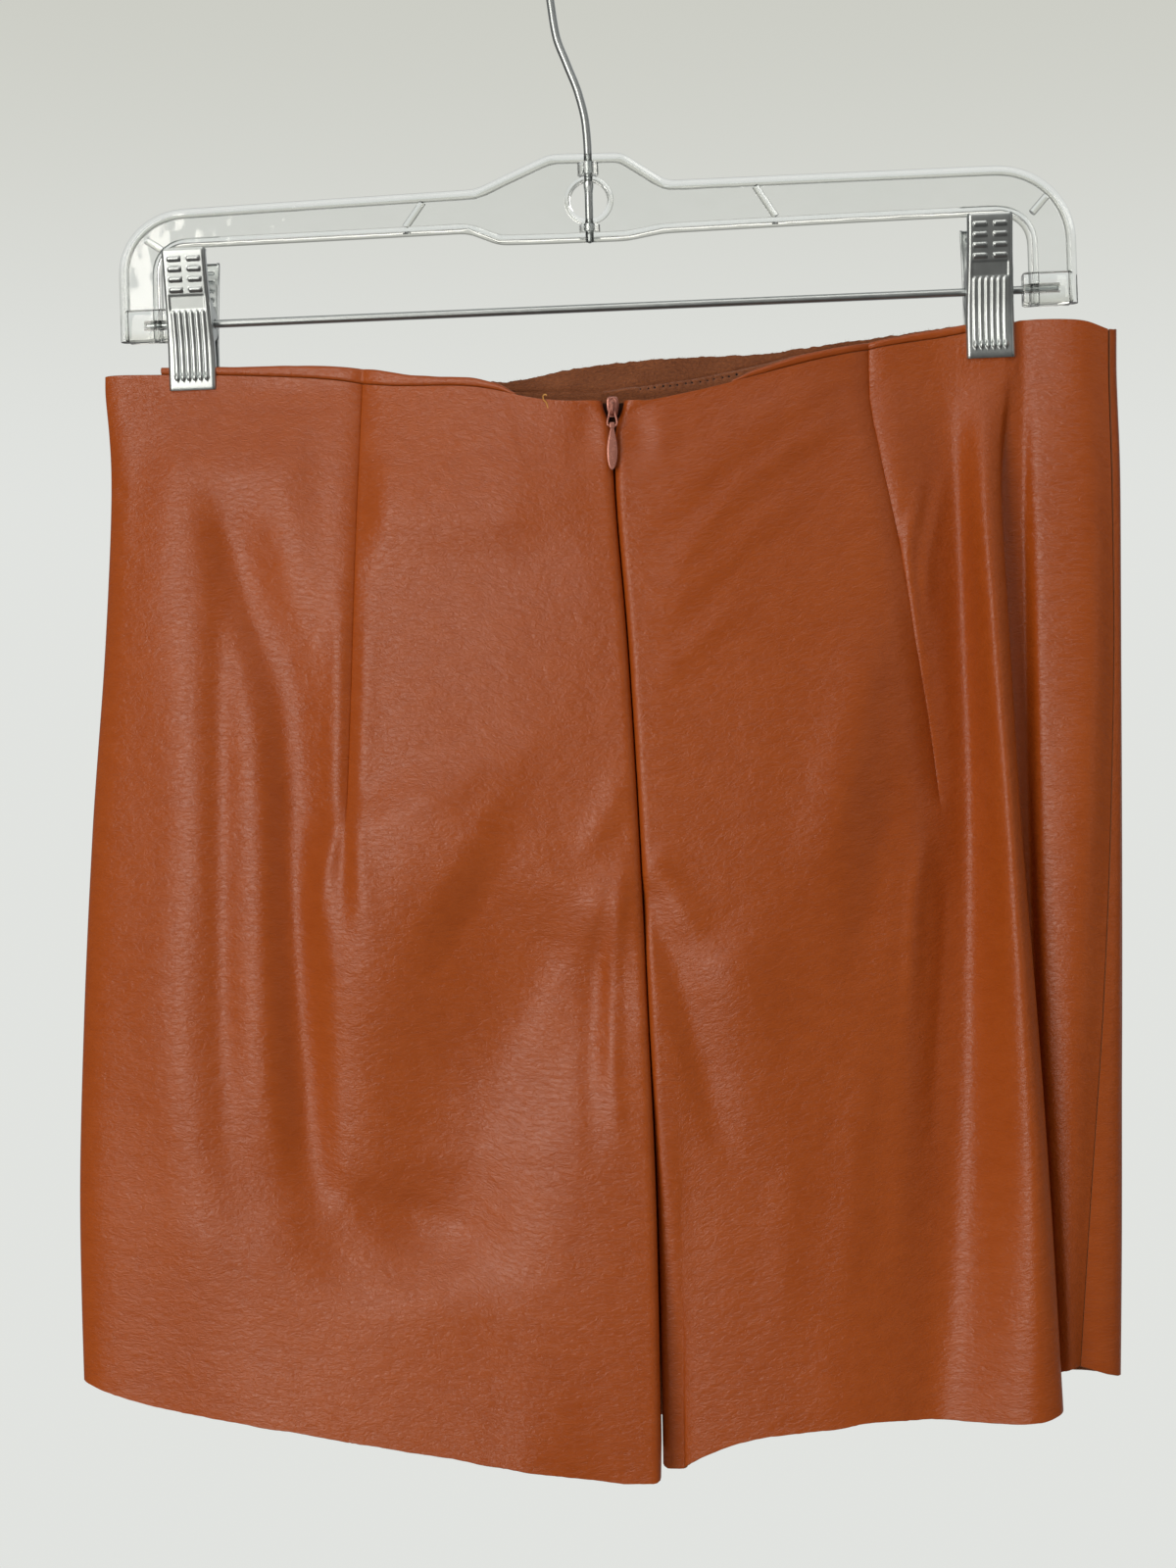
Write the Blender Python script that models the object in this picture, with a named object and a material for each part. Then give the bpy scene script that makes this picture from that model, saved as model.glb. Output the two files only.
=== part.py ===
"""A faux-leather skort, clipped by its waist to a clear plastic hanger and seen from its zipped back.

The origin is the point where the hook rests on a rail. +Z is up, the garment's back faces -Y and its
front +Y. Sizes are in millimetres and MM turns them into Blender's metres. A drop is a distance below
the rail. An out is a distance from the hanger's plane, towards the back when it is positive.
"""

import math
from collections import namedtuple

import bmesh
import bpy
import numpy as np

MM = 0.001

# Driving dimensions of the cloth
WALL = 1.2
SEAM_GAP = 0.3
PLY = WALL + SEAM_GAP
ROWS = 22
HIDDEN_ROWS = 16
INSEAM_HEM = 570.0
SHORTS_LOOSE = 3.2
LEVELS = np.array((180.0, 210.0, 270.0, 340.0, 410.0, 480.0, 575.0))

# Driving dimensions of the zip
ZIP_TOP = 187.0
ZIP_END = 358.0
ZIP_MOUTH = 7.4
ZIP_MOUTH_DEPTH = 13.0
ALLOWANCE = 6.0
FRONT_ALLOWANCE = 3.2
CROTCH_TOP = 425.0
CROTCH = 467.0

# Driving dimensions of the hanger
TILT = math.radians(1.8)
RING_DROP = 109.2
WIRE = 3.0
HOOK_RADIUS = 16.5
BAR_HEIGHT = -40.0
BAR_ENDS = (-167.5, 171.5)
CLIP_PLACES = {"left": -150.0, "right": 146.0}
CLIP_WIDTH = 17.0
SHEET = 1.0
BORE_PLAY = 0.4


def clear_scene():
    for thing in list(bpy.data.objects):
        bpy.data.objects.remove(thing)


def material(name, colour, roughness, metallic=0.0, transmission=0.0):
    """A Principled BSDF of one plain finish."""
    made = bpy.data.materials.new(name)
    made.use_nodes = True
    shader = made.node_tree.nodes["Principled BSDF"]
    shader.inputs["Base Color"].default_value = (*colour, 1.0)
    shader.inputs["Roughness"].default_value = roughness
    shader.inputs["Metallic"].default_value = metallic
    shader.inputs["Transmission Weight"].default_value = transmission
    return made


def finishes():
    return {
        "leather": material("faux_leather", (0.30, 0.08, 0.028), 0.38),
        "suede": material("suede_reverse", (0.20, 0.058, 0.02), 0.9),
        "tape": material("zip_tape", (0.10, 0.03, 0.012), 0.8),
        "paint": material("painted_zip_metal", (0.36, 0.12, 0.08), 0.35),
        "plastic": material("clear_plastic", (0.9, 0.92, 0.92), 0.05, transmission=1.0),
        "steel": material("zinc_plated_steel", (0.62, 0.64, 0.66), 0.25, metallic=1.0),
    }


def smooth(knots, rows, at):
    """A cubic curve through one row for each knot, which never passes a row that is a local extreme."""
    rows = np.asarray(rows, float)
    extra = (1,) * (rows.ndim - 1)
    rises = np.diff(rows, axis=0) / np.diff(knots).reshape((-1, *extra))
    product = rises[:-1] * rises[1:]
    total = rises[:-1] + rises[1:]
    inner = np.where(product > 0, 2 * product / np.where(product > 0, total, 1.0), 0.0)
    slopes = np.concatenate((rises[:1], inner, rises[-1:]))
    place = np.clip(np.searchsorted(knots, at, side="right") - 1, 0, len(knots) - 2)
    step = np.diff(knots)[place]
    t = np.clip((at - knots[place]) / step, 0.0, 1.0)
    t = t.reshape(t.shape + extra)
    step = step.reshape(step.shape + extra)
    start = (1 + 2 * t) * (1 - t) ** 2 * rows[place] + t * (1 - t) ** 2 * step * slopes[place]
    end = t * t * (3 - 2 * t) * rows[place + 1] + t * t * (t - 1) * step * slopes[place + 1]
    return start + end


def ramp(value, low, high):
    """0 below low, 1 above high, and an even S between them."""
    t = np.clip((value - low) / (high - low), 0.0, 1.0)
    return t * t * (3 - 2 * t)


# A line runs down the cloth from the waist to the hem. Its across and out are given at each of LEVELS,
# cells is the number of mesh cells to the next line, and the cloth is a smooth sheet through its lines.
Line = namedtuple("Line", "name cells waist hem across out")

BACK_LEFT = (
    Line("side seam", 2, 174.0, 549.0,
         (-174.5, -172.0, -174.3, -179.0, -182.3, -184.0, -182.0),
         (-2.7, -4.2, -5.0, -5.5, -5.5, -5.5, -5.5)),
    Line("left edge", 2, 173.3, 549.5,
         (-181.8, -179.2, -181.4, -186.3, -189.6, -191.3, -188.9), (0.0,) * 7),
    Line("side roll", 3, 173.2, 552.5,
         (-174.5, -171.5, -173.5, -178.3, -181.7, -183.5, -180.5), (2.8, 5.0, 6.3, 6.8, 6.8, 6.8, 6.0)),
    Line("side ridge", 3, 173.3, 557.7,
         (-155.0, -154.0, -155.0, -156.0, -156.0, -156.0, -153.5), (3.0, 7.5, 10.5, 12.5, 13.5, 13.5, 11.5)),
    Line("hip side", 3, 174.0, 560.3,
         (-127.0, -126.0, -126.0, -126.5, -127.0, -127.0, -126.0), (3.4, 9.5, 14.0, 17.5, 19.0, 19.0, 16.5)),
    Line("hip", 3, 176.0, 563.8,
         (-97.0, -97.0, -97.0, -97.0, -97.0, -97.0, -96.8), (6.5, 13.0, 17.5, 22.0, 23.0, 22.0, 19.0)),
    Line("dart side", 3, 179.8, 567.1,
         (-71.0, -71.0, -71.0, -71.0, -71.0, -71.0, -70.9), (11.0, 16.0, 21.0, 26.0, 26.5, 24.5, 21.0)),
    Line("mid back", 3, 180.2, 571.1,
         (-44.0, -44.0, -43.5, -43.0, -42.5, -42.0, -41.7), (15.5, 19.0, 23.0, 27.0, 27.0, 25.0, 22.5)),
    Line("inner back", 2, 186.0, 574.6,
         (-18.0, -18.0, -17.5, -17.0, -17.0, -17.0, -16.9), (19.0, 21.5, 25.0, 27.5, 27.5, 26.0, 24.5)),
)

BACK_RIGHT = (
    Line("inner back", 2, 184.6, 574.9,
         (35.0, 35.0, 36.0, 38.0, 38.0, 37.0, 36.5), (18.7, 22.0, 25.5, 27.0, 25.5, 20.0, 14.5)),
    Line("mid back", 3, 178.0, 563.7,
         (60.0, 60.0, 60.0, 60.0, 60.0, 59.5, 59.0), (15.5, 19.0, 24.0, 26.5, 25.0, 21.0, 18.0)),
    Line("hip", 3, 170.5, 559.4,
         (87.0, 87.0, 88.0, 89.0, 89.0, 89.0, 88.0), (10.5, 15.0, 21.0, 23.5, 22.5, 20.0, 20.0)),
    Line("dart side", 3, 165.3, 556.9,
         (111.0, 112.0, 113.0, 114.0, 113.0, 111.0, 108.0), (5.5, 12.0, 16.5, 19.0, 18.5, 17.0, 16.5)),
    Line("dip", 3, 162.0, 556.9,
         (130.0, 132.0, 134.5, 136.5, 134.5, 131.5, 125.0), (3.0, 7.5, 10.5, 13.0, 14.0, 14.0, 15.0)),
    Line("pleat crest", 2, 159.3, 554.8,
         (145.5, 144.5, 147.5, 152.5, 157.0, 161.0, 162.5), (3.0, 14.0, 20.5, 23.5, 25.0, 25.5, 25.0)),
    Line("pleat edge", 2, 158.2, 551.3,
         (152.0, 150.0, 152.8, 156.8, 162.5, 167.5, 173.0), (3.0, 10.5, 15.0, 17.0, 18.0, 18.3, 19.0)),
    Line("under pleat", 2, 156.6, 545.0,
         (156.5, 150.5, 150.5, 153.0, 157.5, 162.0, 169.5), (2.6, 4.6, 6.5, 7.5, 8.5, 9.0, 9.5)),
    Line("pleat root", 2, 155.4, 541.6,
         (161.0, 160.0, 161.3, 163.6, 167.4, 170.6, 173.8), (1.6, 2.0, 3.0, 3.4, 4.0, 4.6, 5.0)),
    Line("side ridge", 3, 156.6, 539.6,
         (180.0, 182.0, 182.8, 180.3, 177.5, 176.3, 175.9), (5.5, 6.5, 8.5, 10.5, 10.5, 9.5, 8.0)),
    Line("side seam", 0, 159.6, 538.4,
         (190.6, 191.6, 192.2, 190.8, 187.8, 183.2, 177.6), (2.9, 3.0, 3.2, 4.6, 6.0, 6.2, 4.2)),
)

# The front skirt runs from the right side seam round the right edge and across the front to the left.
SKIRT = (
    Line("right seam", 1, 159.6, 538.6,
         (191.1, 192.1, 192.7, 191.3, 188.3, 183.7, 178.2), (2.8, 2.9, 3.0, 4.5, 6.0, 6.2, 4.1)),
    Line("right strip", 1, 159.6, 541.4,
         (192.9, 194.3, 194.5, 194.3, 193.2, 191.4, 188.5), (1.9, 2.0, 2.2, 3.2, 4.8, 5.0, 3.7)),
    Line("right edge", 2, 159.0, 543.3,
         (193.7, 195.1, 195.4, 195.8, 196.1, 196.2, 195.4), (0.0,) * 7),
    Line("right roll", 2, 161.0, 543.3,
         (187.5, 188.5, 188.8, 189.0, 189.5, 189.5, 189.0), (-2.9, -4.0, -4.8, -5.4, -5.4, -5.4, -5.0)),
    Line("right fold", 2, 162.0, 543.8,
         (165.0, 165.0, 166.0, 167.0, 168.0, 168.0, 168.0), (-3.0, -6.4, -8.6, -10.5, -11.0, -11.0, -10.5)),
    Line("right dip", 2, 163.0, 547.0,
         (132.0, 132.0, 132.0, 133.0, 134.0, 134.0, 134.0), (-3.0, -7.4, -9.8, -11.2, -11.2, -11.0, -11.5)),
    Line("right front", 2, 164.2, 552.0,
         (97.0,) * 7, (-4.3, -9.4, -13.4, -16.0, -16.0, -15.0, -13.0)),
    Line("inner dip", 2, 170.6, 558.0,
         (62.0,) * 7, (-6.4, -11.0, -14.0, -15.0, -14.5, -14.2, -14.2)),
    Line("mid front", 2, 177.8, 564.0,
         (26.0,) * 7, (-7.6, -12.2, -16.0, -18.4, -18.4, -17.0, -14.6)),
    Line("mid dip", 2, 180.2, 567.0,
         (-10.0,) * 7, (-7.8, -12.0, -15.0, -16.0, -15.6, -15.2, -16.0)),
    Line("left front", 2, 179.0, 566.0,
         (-46.0,) * 7, (-7.0, -12.0, -16.0, -18.0, -18.0, -16.6, -14.2)),
    Line("left dip", 2, 177.0, 562.5,
         (-81.0,) * 7, (-5.4, -10.4, -13.4, -14.4, -14.2, -14.2, -14.8)),
    Line("left fold", 2, 175.4, 558.0,
         (-116.0,) * 7, (-3.4, -8.4, -12.4, -15.0, -15.4, -15.0, -13.2)),
    Line("left roll", 2, 174.4, 552.5,
         (-149.0, -149.0, -150.0, -152.0, -153.0, -153.0, -152.0),
         (-3.0, -6.4, -9.2, -10.6, -11.0, -11.0, -11.0)),
    Line("left seam", 0, 174.2, 547.5,
         (-173.9, -171.4, -173.7, -178.4, -181.7, -183.4, -181.4),
         (-2.8, -4.3, -5.1, -5.6, -5.6, -5.6, -5.6)),
)

# A crease is a soft trough, or a ridge where its height is positive, along a path of (across, drop)
# points. Its inner side lies to the right of a path that runs down.
Crease = namedtuple("Crease", "name height outer_width inner_width path")

CREASES = (
    Crease("sagging bowl of the left hip", -5.0, 9.0, 34.0,
           ((-142, 205), (-126, 254), (-111, 290), (-107, 362), (-104, 434), (-99, 470), (-88, 495),
            (-71, 504), (-60, 498), (-52, 484), (-42, 455), (-28, 422), (-13, 390), (5, 366))),
    Crease("ridge below the bowl", 2.5, 26.0, 9.0,
           ((-110, 470), (-95, 510), (-70, 524), (-45, 512), (-30, 470), (-10, 420))),
    Crease("left dart", -1.6, 5.0, 5.0, ((-84, 185), (-85, 257), (-86, 312), (-87, 352))),
    Crease("right dart", -1.8, 5.0, 6.0,
           ((104, 178), (107, 205), (114, 238), (120, 278), (125, 305), (130, 345))),
    Crease("drag line from the right clip", -1.6, 6.0, 9.0,
           ((20, 250), (34, 226), (62, 204), (84, 190), (108, 176))),
    Crease("ridge under the drag line", 1.6, 8.0, 6.0, ((24, 262), (45, 232), (72, 210), (98, 196))),
    Crease("pull from the zip end, left", 2.0, 7.0, 10.0, ((18, 350), (5, 372), (-10, 402), (-24, 440))),
    Crease("pull from the zip end, right", 1.8, 9.0, 7.0, ((25, 352), (38, 376), (54, 405), (62, 440))),
)


def along(path, count):
    """A path's smooth curve through its points, as evenly numbered points."""
    points = np.array(path, float)
    knots = np.concatenate(([0.0], np.cumsum(np.hypot(*np.diff(points, axis=0).T))))
    return smooth(knots, points, np.linspace(0.0, knots[-1], count))


def crease_height(crease, across, drop):
    """The crease's height at each point. It falls off beside its path and fades at both ends."""
    path = along(crease.path, 60)
    heading = np.gradient(path, axis=0)
    away = np.stack((across, drop), -1)[..., None, :] - path
    distance = np.hypot(away[..., 0], away[..., 1])
    nearest = distance.argmin(axis=-1)
    distance = distance.min(axis=-1)
    chosen = np.take_along_axis(away, nearest[..., None, None], axis=-2)[..., 0, :]
    ahead = heading[nearest]
    side = ahead[..., 0] * chosen[..., 1] - ahead[..., 1] * chosen[..., 0]
    width = np.where(side < 0, crease.inner_width, crease.outer_width)
    fade = np.sqrt(np.sin(math.pi * nearest / (len(path) - 1)))
    return crease.height * fade * np.exp(-((distance / width) ** 2))


def down(line, rows):
    """One line's points from waist to hem, closer together by the waist, as columns across, drop and out."""
    share = np.concatenate(((0.0, 0.012), np.linspace(0.036, 1.0, rows - 1)))
    drop = line.waist + (line.hem - line.waist) * share
    level = np.clip(drop, LEVELS[0], LEVELS[-1])
    across = line.across(level) if callable(line.across) else smooth(LEVELS, line.across, level)
    out = line.out(level) if callable(line.out) else smooth(LEVELS, line.out, level)
    return np.stack((across, drop, out), -1)


def sheet(lines, rows=ROWS):
    """The cloth's middle surface: a smooth grid across its lines, spaced by how far apart the lines run."""
    runs = np.stack([down(line, rows) for line in lines])
    apart = np.linalg.norm(np.diff(runs, axis=0), axis=-1).mean(axis=1)
    knots = np.concatenate(([0.0], np.cumsum(apart)))
    at = [np.linspace(start, end, line.cells, endpoint=False)
          for start, end, line in zip(knots[:-1], knots[1:], lines)]
    return smooth(knots, runs, np.concatenate((*at, knots[-1:])))


def in_space(grid):
    """Columns across, drop and out turned into x, y and z."""
    return np.stack((grid[..., 0], -grid[..., 2], -grid[..., 1]), -1)


def facing_out(points):
    """The unit normal at each point of a grid, from its neighbours along and down."""
    normal = np.cross(np.gradient(points, axis=0), np.gradient(points, axis=1))
    return normal / np.linalg.norm(normal, axis=-1, keepdims=True)


def mesh_object(name, points, faces, finish, sharp=40.0):
    """A closed mesh in millimetres, its faces turned outwards, as a shaded object."""
    mesh = bpy.data.meshes.new(name)
    mesh.from_pydata((np.asarray(points) * MM).tolist(), [], faces)
    shape = bmesh.new()
    shape.from_mesh(mesh)
    bmesh.ops.recalc_face_normals(shape, faces=shape.faces)
    shape.to_mesh(mesh)
    shape.free()
    mesh.shade_smooth()
    mesh.set_sharp_from_angle(angle=math.radians(sharp))
    mesh.materials.append(finish)
    made = bpy.data.objects.new(name, mesh)
    bpy.context.scene.collection.objects.link(made)
    return made


def wall_object(name, middle, finish, wall=WALL):
    """A grid of points made a wall: the grid moved half the wall each way, and closed round its border."""
    along_count, down_count = middle.shape[:2]
    half = facing_out(middle) * wall / 2
    points = np.concatenate(((middle + half).reshape(-1, 3), (middle - half).reshape(-1, 3)))
    index = np.arange(along_count * down_count).reshape(along_count, down_count)
    under = index + along_count * down_count
    border = np.concatenate((index[:, 0], index[-1, 1:], index[-2::-1, -1], index[0, -2:0:-1]))
    faces = []
    for i in range(along_count - 1):
        for j in range(down_count - 1):
            faces.append((index[i, j], index[i, j + 1], index[i + 1, j + 1], index[i + 1, j]))
            faces.append((under[i, j], under[i + 1, j], under[i + 1, j + 1], under[i, j + 1]))
    for first, second in zip(border, np.roll(border, -1)):
        faces.append((first, second, second + index.size, first + index.size))
    return mesh_object(name, points, [tuple(map(int, face)) for face in faces], finish)


def centre(drop):
    """How far across the centre-back seam lies."""
    return smooth(LEVELS, (9.6, 10.1, 15.0, 19.4, 22.8, 25.8, 27.6), np.clip(drop, LEVELS[0], LEVELS[-1]))


def beside_centre(side, offset):
    """A line that keeps an offset from the centre seam, and parts further at the zip's mouth."""
    def across(drop):
        mouth = ZIP_MOUTH / 2 * ramp(drop, ZIP_TOP + ZIP_MOUTH_DEPTH, ZIP_TOP)
        return centre(drop) + side * (offset + SEAM_GAP * 0.7 + WALL / 2 + mouth)
    return across


# How far out the cloth lies beside the centre seam at LEVELS, by side: the backs, then the shorts fronts.
BACK_OUT = {-1: (20.0, 23.0, 26.0, 27.3, 26.8, 26.2, 26.0), 1: (20.0, 23.0, 26.0, 27.3, 26.0, 19.5, 12.5)}
FRONT_OUT = {-1: (-6.0, -8.6, -10.0, -10.4, -9.0, -2.0, 4.0), 1: (-6.0, -8.6, -10.0, -10.4, -9.4, -8.0, -7.0)}
INSEAM_OUT = {-1: 14.0, 1: 3.0}
CROTCH_OUT = 8.0
INSEAM_HALF_GAP = 0.35
CENTRE_FLAT = 8.0
CENTRE_ROLL = 1.8
BACK_HEM = {-1: 578.2, 1: 576.2}
FRONT_HEM = {-1: 563.5, 1: 562.0}


def inner_end(side, face):
    """How far out the panel's last line lies: a turned-in allowance above the crotch, the inseam below it.

    face is 1 on the back, -1 on the front.
    """
    table = BACK_OUT if face > 0 else FRONT_OUT
    turned_in = ALLOWANCE if face > 0 else -FRONT_ALLOWANCE

    def out(drop):
        allowance = smooth(LEVELS, table[side], drop) - turned_in
        inseam = CROTCH_OUT + (INSEAM_OUT[side] - CROTCH_OUT) * ramp(drop, CROTCH, LEVELS[-1])
        inseam = inseam + face * INSEAM_HALF_GAP
        return allowance + (inseam - allowance) * ramp(drop, CROTCH_TOP, CROTCH)
    return out


def centre_lines(side, face, waist):
    """The lines of one leg by the centre seam: its surface, the turn inwards and the inner strip's end."""
    hem, table = (BACK_HEM[side], BACK_OUT[side]) if face > 0 else (FRONT_HEM[side], FRONT_OUT[side])

    def out(drop):
        return smooth(LEVELS, table, drop)

    def turned(drop):
        return out(drop) - face * CENTRE_ROLL

    return (
        Line("centre flat", 2, waist, hem, beside_centre(side, CENTRE_FLAT), out),
        Line("centre roll", 1, waist, hem, beside_centre(side, CENTRE_ROLL), out),
        Line("centre turn", 2, waist, hem + (INSEAM_HEM - hem) / 6, beside_centre(side, 0.0), turned),
        Line("inner end", 0, waist, INSEAM_HEM, beside_centre(side, 0.0), inner_end(side, face)),
    )


def mirrored_order(lines):
    """The same lines from last to first, each keeping the cells that lie between the same two lines."""
    cells = [line.cells for line in lines[:-1]]
    return tuple(line._replace(cells=count) for line, count in zip(reversed(lines), (*reversed(cells), 0)))


def creased(grid, creases=CREASES):
    """The grid with every crease's height added to its out."""
    raised = grid.copy()
    for crease in creases:
        raised[..., 2] += crease_height(crease, grid[..., 0], grid[..., 1])
    return raised


def back_left_grid():
    lines = BACK_LEFT + centre_lines(-1, 1, ZIP_TOP)
    return in_space(creased(sheet(lines)))


def back_right_grid():
    inner = mirrored_order(centre_lines(1, 1, ZIP_TOP))
    inner = inner[:-1] + (inner[-1]._replace(cells=2),)
    grid = sheet(inner + BACK_RIGHT)
    raised = creased(grid)
    flat_side = ramp(grid[..., 0], 128.0, 112.0)[..., None]
    return in_space(raised * flat_side + grid * (1 - flat_side))


def skirt_out(across, drop):
    """The out of the front skirt's middle surface at places between its two side rolls."""
    lines = SKIRT[3:-1]
    level = np.clip(drop, LEVELS[0], LEVELS[-1])
    places = np.array([line.across[0] for line in lines])[::-1]
    outs = np.stack([smooth(LEVELS, line.out, level) for line in lines])[::-1]
    weights = smooth(places, np.eye(len(lines)), np.atleast_1d(across))
    return (weights * outs.T).sum(axis=1)


def under_skirt(across, drop):
    """The shorts front's out: one ply inside the skirt at the waist and sides, and looser between."""
    loose = SHORTS_LOOSE * ramp(drop, 190.0, 290.0) * ramp(175.0 - np.abs(across - 5.0), 0.0, 60.0)
    return skirt_out(across, drop) + PLY + loose


def shorts_line(name, cells, across, waist, hem):
    return Line(name, cells, waist, hem, lambda drop: np.full_like(drop, across),
                lambda drop: under_skirt(np.full_like(drop, across), drop))


def inside(line, cells, shift_across, shift_out, hem):
    """A skirt line moved inwards, for the shorts front that follows it."""
    across = tuple(value + shift_across for value in line.across)
    out = tuple(value + shift_out for value in line.out)
    return Line(line.name, cells, line.waist, hem, across, out)


def front_left_grid():
    """The left shorts front, from the left side seam to the centre and down the inside of the leg."""
    lines = (
        inside(SKIRT[-1], 2, 1.0, PLY + 0.25, 544.0),
        shorts_line("left roll", 2, -149.0, 174.6, 548.5),
        shorts_line("left fold", 2, -116.0, 175.6, 554.0),
        shorts_line("left dip", 2, -81.0, 177.2, 558.5),
        shorts_line("left front", 2, -46.0, 179.2, 562.0),
        shorts_line("mid dip", 2, -16.0, 180.4, 563.0),
    )
    return in_space(sheet(lines + centre_lines(-1, -1, 180.4), HIDDEN_ROWS))


def front_right_grid():
    """The right shorts front, from the centre round the right edge to the side seam, inside the skirt."""
    inner = mirrored_order(centre_lines(1, -1, 180.0))
    inner = inner[:-1] + (inner[-1]._replace(cells=2),)
    lines = (
        shorts_line("mid front", 2, 42.0, 175.6, 559.5),
        shorts_line("inner dip", 2, 66.0, 171.0, 554.5),
        shorts_line("right front", 2, 97.0, 165.2, 549.0),
        shorts_line("right dip", 2, 132.0, 163.4, 544.5),
        shorts_line("right fold", 2, 165.0, 162.4, 541.0),
        inside(SKIRT[3], 2, -0.4, PLY, 539.0),
        inside(SKIRT[2], 1, -2.0, 0.0, 538.5),
        inside(SKIRT[1], 1, -1.5, -1.25, 538.0),
        inside(SKIRT[0], 0, 0.2, -PLY, 536.0),
    )
    return in_space(sheet(inner + lines, HIDDEN_ROWS))


# The front facing as (across, drop of its top, drop of the seam that it folds up from).
FRONT_FACING = ((-156, 172.8, 175.0), (-110, 173.4, 175.6), (-60, 176.0, 178.4), (-34, 175.8, 179.3),
                (0, 170.8, 180.0), (25, 168.4, 177.6), (47, 167.2, 173.9), (63, 166.4, 170.4),
                (84, 164.1, 165.9), (104, 161.6, 164.0), (130, 158.4, 163.2), (156, 155.0, 162.4))

# The back facings as (across, drop of the top). Each rises above the seam at its panel's waist edge.
LEFT_BACK_FACING = ((-160, 170.8), (-128, 170.8), (-107, 170.9), (-86, 172.4), (-62, 176.4), (-44, 177.6),
                    (-33, 179.0))
RIGHT_BACK_FACING = ((62, 174.8), (83, 168.8), (103, 164.6), (116, 161.9), (130, 159.2), (153, 155.4))
FACING_FOLD = 1.9
FACING_LOOSE = 0.25
FACING_DEPTH = 13.0
OVER_ALLOWANCE = 3.4


def front_facing_grid():
    """The front facing flipped up: it stands above the front's waist and hangs down inside it."""
    rows = np.array(FRONT_FACING, float)
    across = np.linspace(rows[0, 0], rows[-1, 0], 34)
    top = smooth(rows[:, 0], rows[:, 1], across)
    seam = smooth(rows[:, 0], rows[:, 2], across)
    over_allowance = OVER_ALLOWANCE * ramp(40.0 - np.abs(across - 10.0), 0.0, 24.0)
    grid = []
    for drop in (top, (top + seam) / 2, seam, seam + FACING_DEPTH / 2, seam + FACING_DEPTH):
        loose = FACING_LOOSE * ramp(drop, 176.0, 184.0)
        out = under_skirt(across, drop) + PLY + over_allowance + loose
        grid.append(np.stack((across, drop, out), -1))
    return in_space(np.stack(grid, axis=1))


def back_facing_grid(panel, table, count):
    """A back facing: its top rolls over level with the panel, and its lower part hangs one ply inside."""
    rows = np.array(table, float)
    across = np.linspace(rows[0, 0], rows[-1, 0], count)
    top = smooth(rows[:, 0], rows[:, 1], across)
    seam, edge = (np.interp(across, panel[:, 0, 0], -panel[:, 0, axis]) for axis in (2, 1))
    middle = [np.interp(across, panel[:, 1, 0], -panel[:, 1, axis]) for axis in (2, 1)]
    lower = [np.interp(across, panel[:, 2, 0], -panel[:, 2, axis]) for axis in (2, 1)]
    inside = PLY + FACING_LOOSE
    grid = (
        (top, edge),
        (seam - FACING_FOLD, edge),
        (seam - 0.5, edge - PLY),
        (middle[0], middle[1] - PLY),
        (lower[0], lower[1] - inside),
    )
    return in_space(np.stack([np.stack((across, drop, out), -1) for drop, out in grid], axis=1))


TAPE = 1.1
TAPE_HALF_WIDTH = 6.5


def zip_tape_grid():
    """The two tapes of the closed zip, one strip behind the seam allowances."""
    offsets = np.linspace(-TAPE_HALF_WIDTH, TAPE_HALF_WIDTH, 4)
    drop = np.linspace(ZIP_TOP, ZIP_END, 14)
    level = np.clip(drop, LEVELS[0], LEVELS[-1])
    out = smooth(LEVELS, BACK_OUT[-1], level) - ALLOWANCE - WALL / 2 - SEAM_GAP - 0.3
    across = centre(drop) + offsets[:, None]
    both = np.broadcast_arrays(across, drop, out)
    return in_space(np.stack(both, -1))


def cutter(made):
    made.hide_render = True
    made.display_type = "WIRE"
    return made


def boolean(made, other, operation):
    """Joins the other solid to this one, or cuts it away. It stays as a hidden child of this one."""
    other.parent = made
    step = made.modifiers.new(other.name, "BOOLEAN")
    step.operation = operation
    step.object = cutter(other)


def prism(name, outline, low, high, frame, finish):
    """An outline of (first, second) points carried from low to high. frame turns all three into x, y, z."""
    count = len(outline)
    points = [frame(first, second, low) for first, second in outline]
    points += [frame(first, second, high) for first, second in outline]
    faces = [tuple(range(count)), tuple(range(count, 2 * count))]
    faces += [(i, (i + 1) % count, (i + 1) % count + count, i + count) for i in range(count)]
    return mesh_object(name, points, faces, finish)


def circle(radius, centre_point, sides):
    """A round outline."""
    first, second = centre_point
    angles = [2 * math.pi * i / sides for i in range(sides)]
    return [(first + radius * math.cos(angle), second + radius * math.sin(angle)) for angle in angles]


# The zip's slider and tab, both placed at the tab's pivot. Outlines are (across, below the pivot) points,
# and a side outline is (out from the pivot, below the pivot).
PIVOT = (float(centre(ZIP_TOP)), 24.9, 190.3)
SLIDER = ((-2.4, -4.5), (2.4, -4.5), (2.4, -1.9), (1.9, 2.1), (-1.9, 2.1), (-2.4, -1.9))
SLIDER_BACK = -9.6
SLIDER_FRONT = -2.2
LOOP_SIDE = ((-2.6, -2.0), (1.3, -2.0), (2.1, -0.9), (2.1, 0.9), (1.3, 2.0), (-2.6, 2.0))
LOOP = 1.0
EYE_RADIUS = 1.15
TAB = 1.1
TAB_HALF = ((0.9, -0.55), (1.9, 0.2), (2.2, 2.0), (1.7, 4.4), (1.0, 5.8), (0.95, 7.2), (1.4, 9.7),
            (1.9, 13.7), (2.05, 16.7), (1.8, 19.7), (1.1, 21.8), (0.0, 22.5))
TAB_HOLE = ((-0.95, 0.5), (0.95, 0.5), (1.15, 2.6), (0.6, 3.9), (-0.6, 3.9), (-1.15, 2.6))


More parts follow.
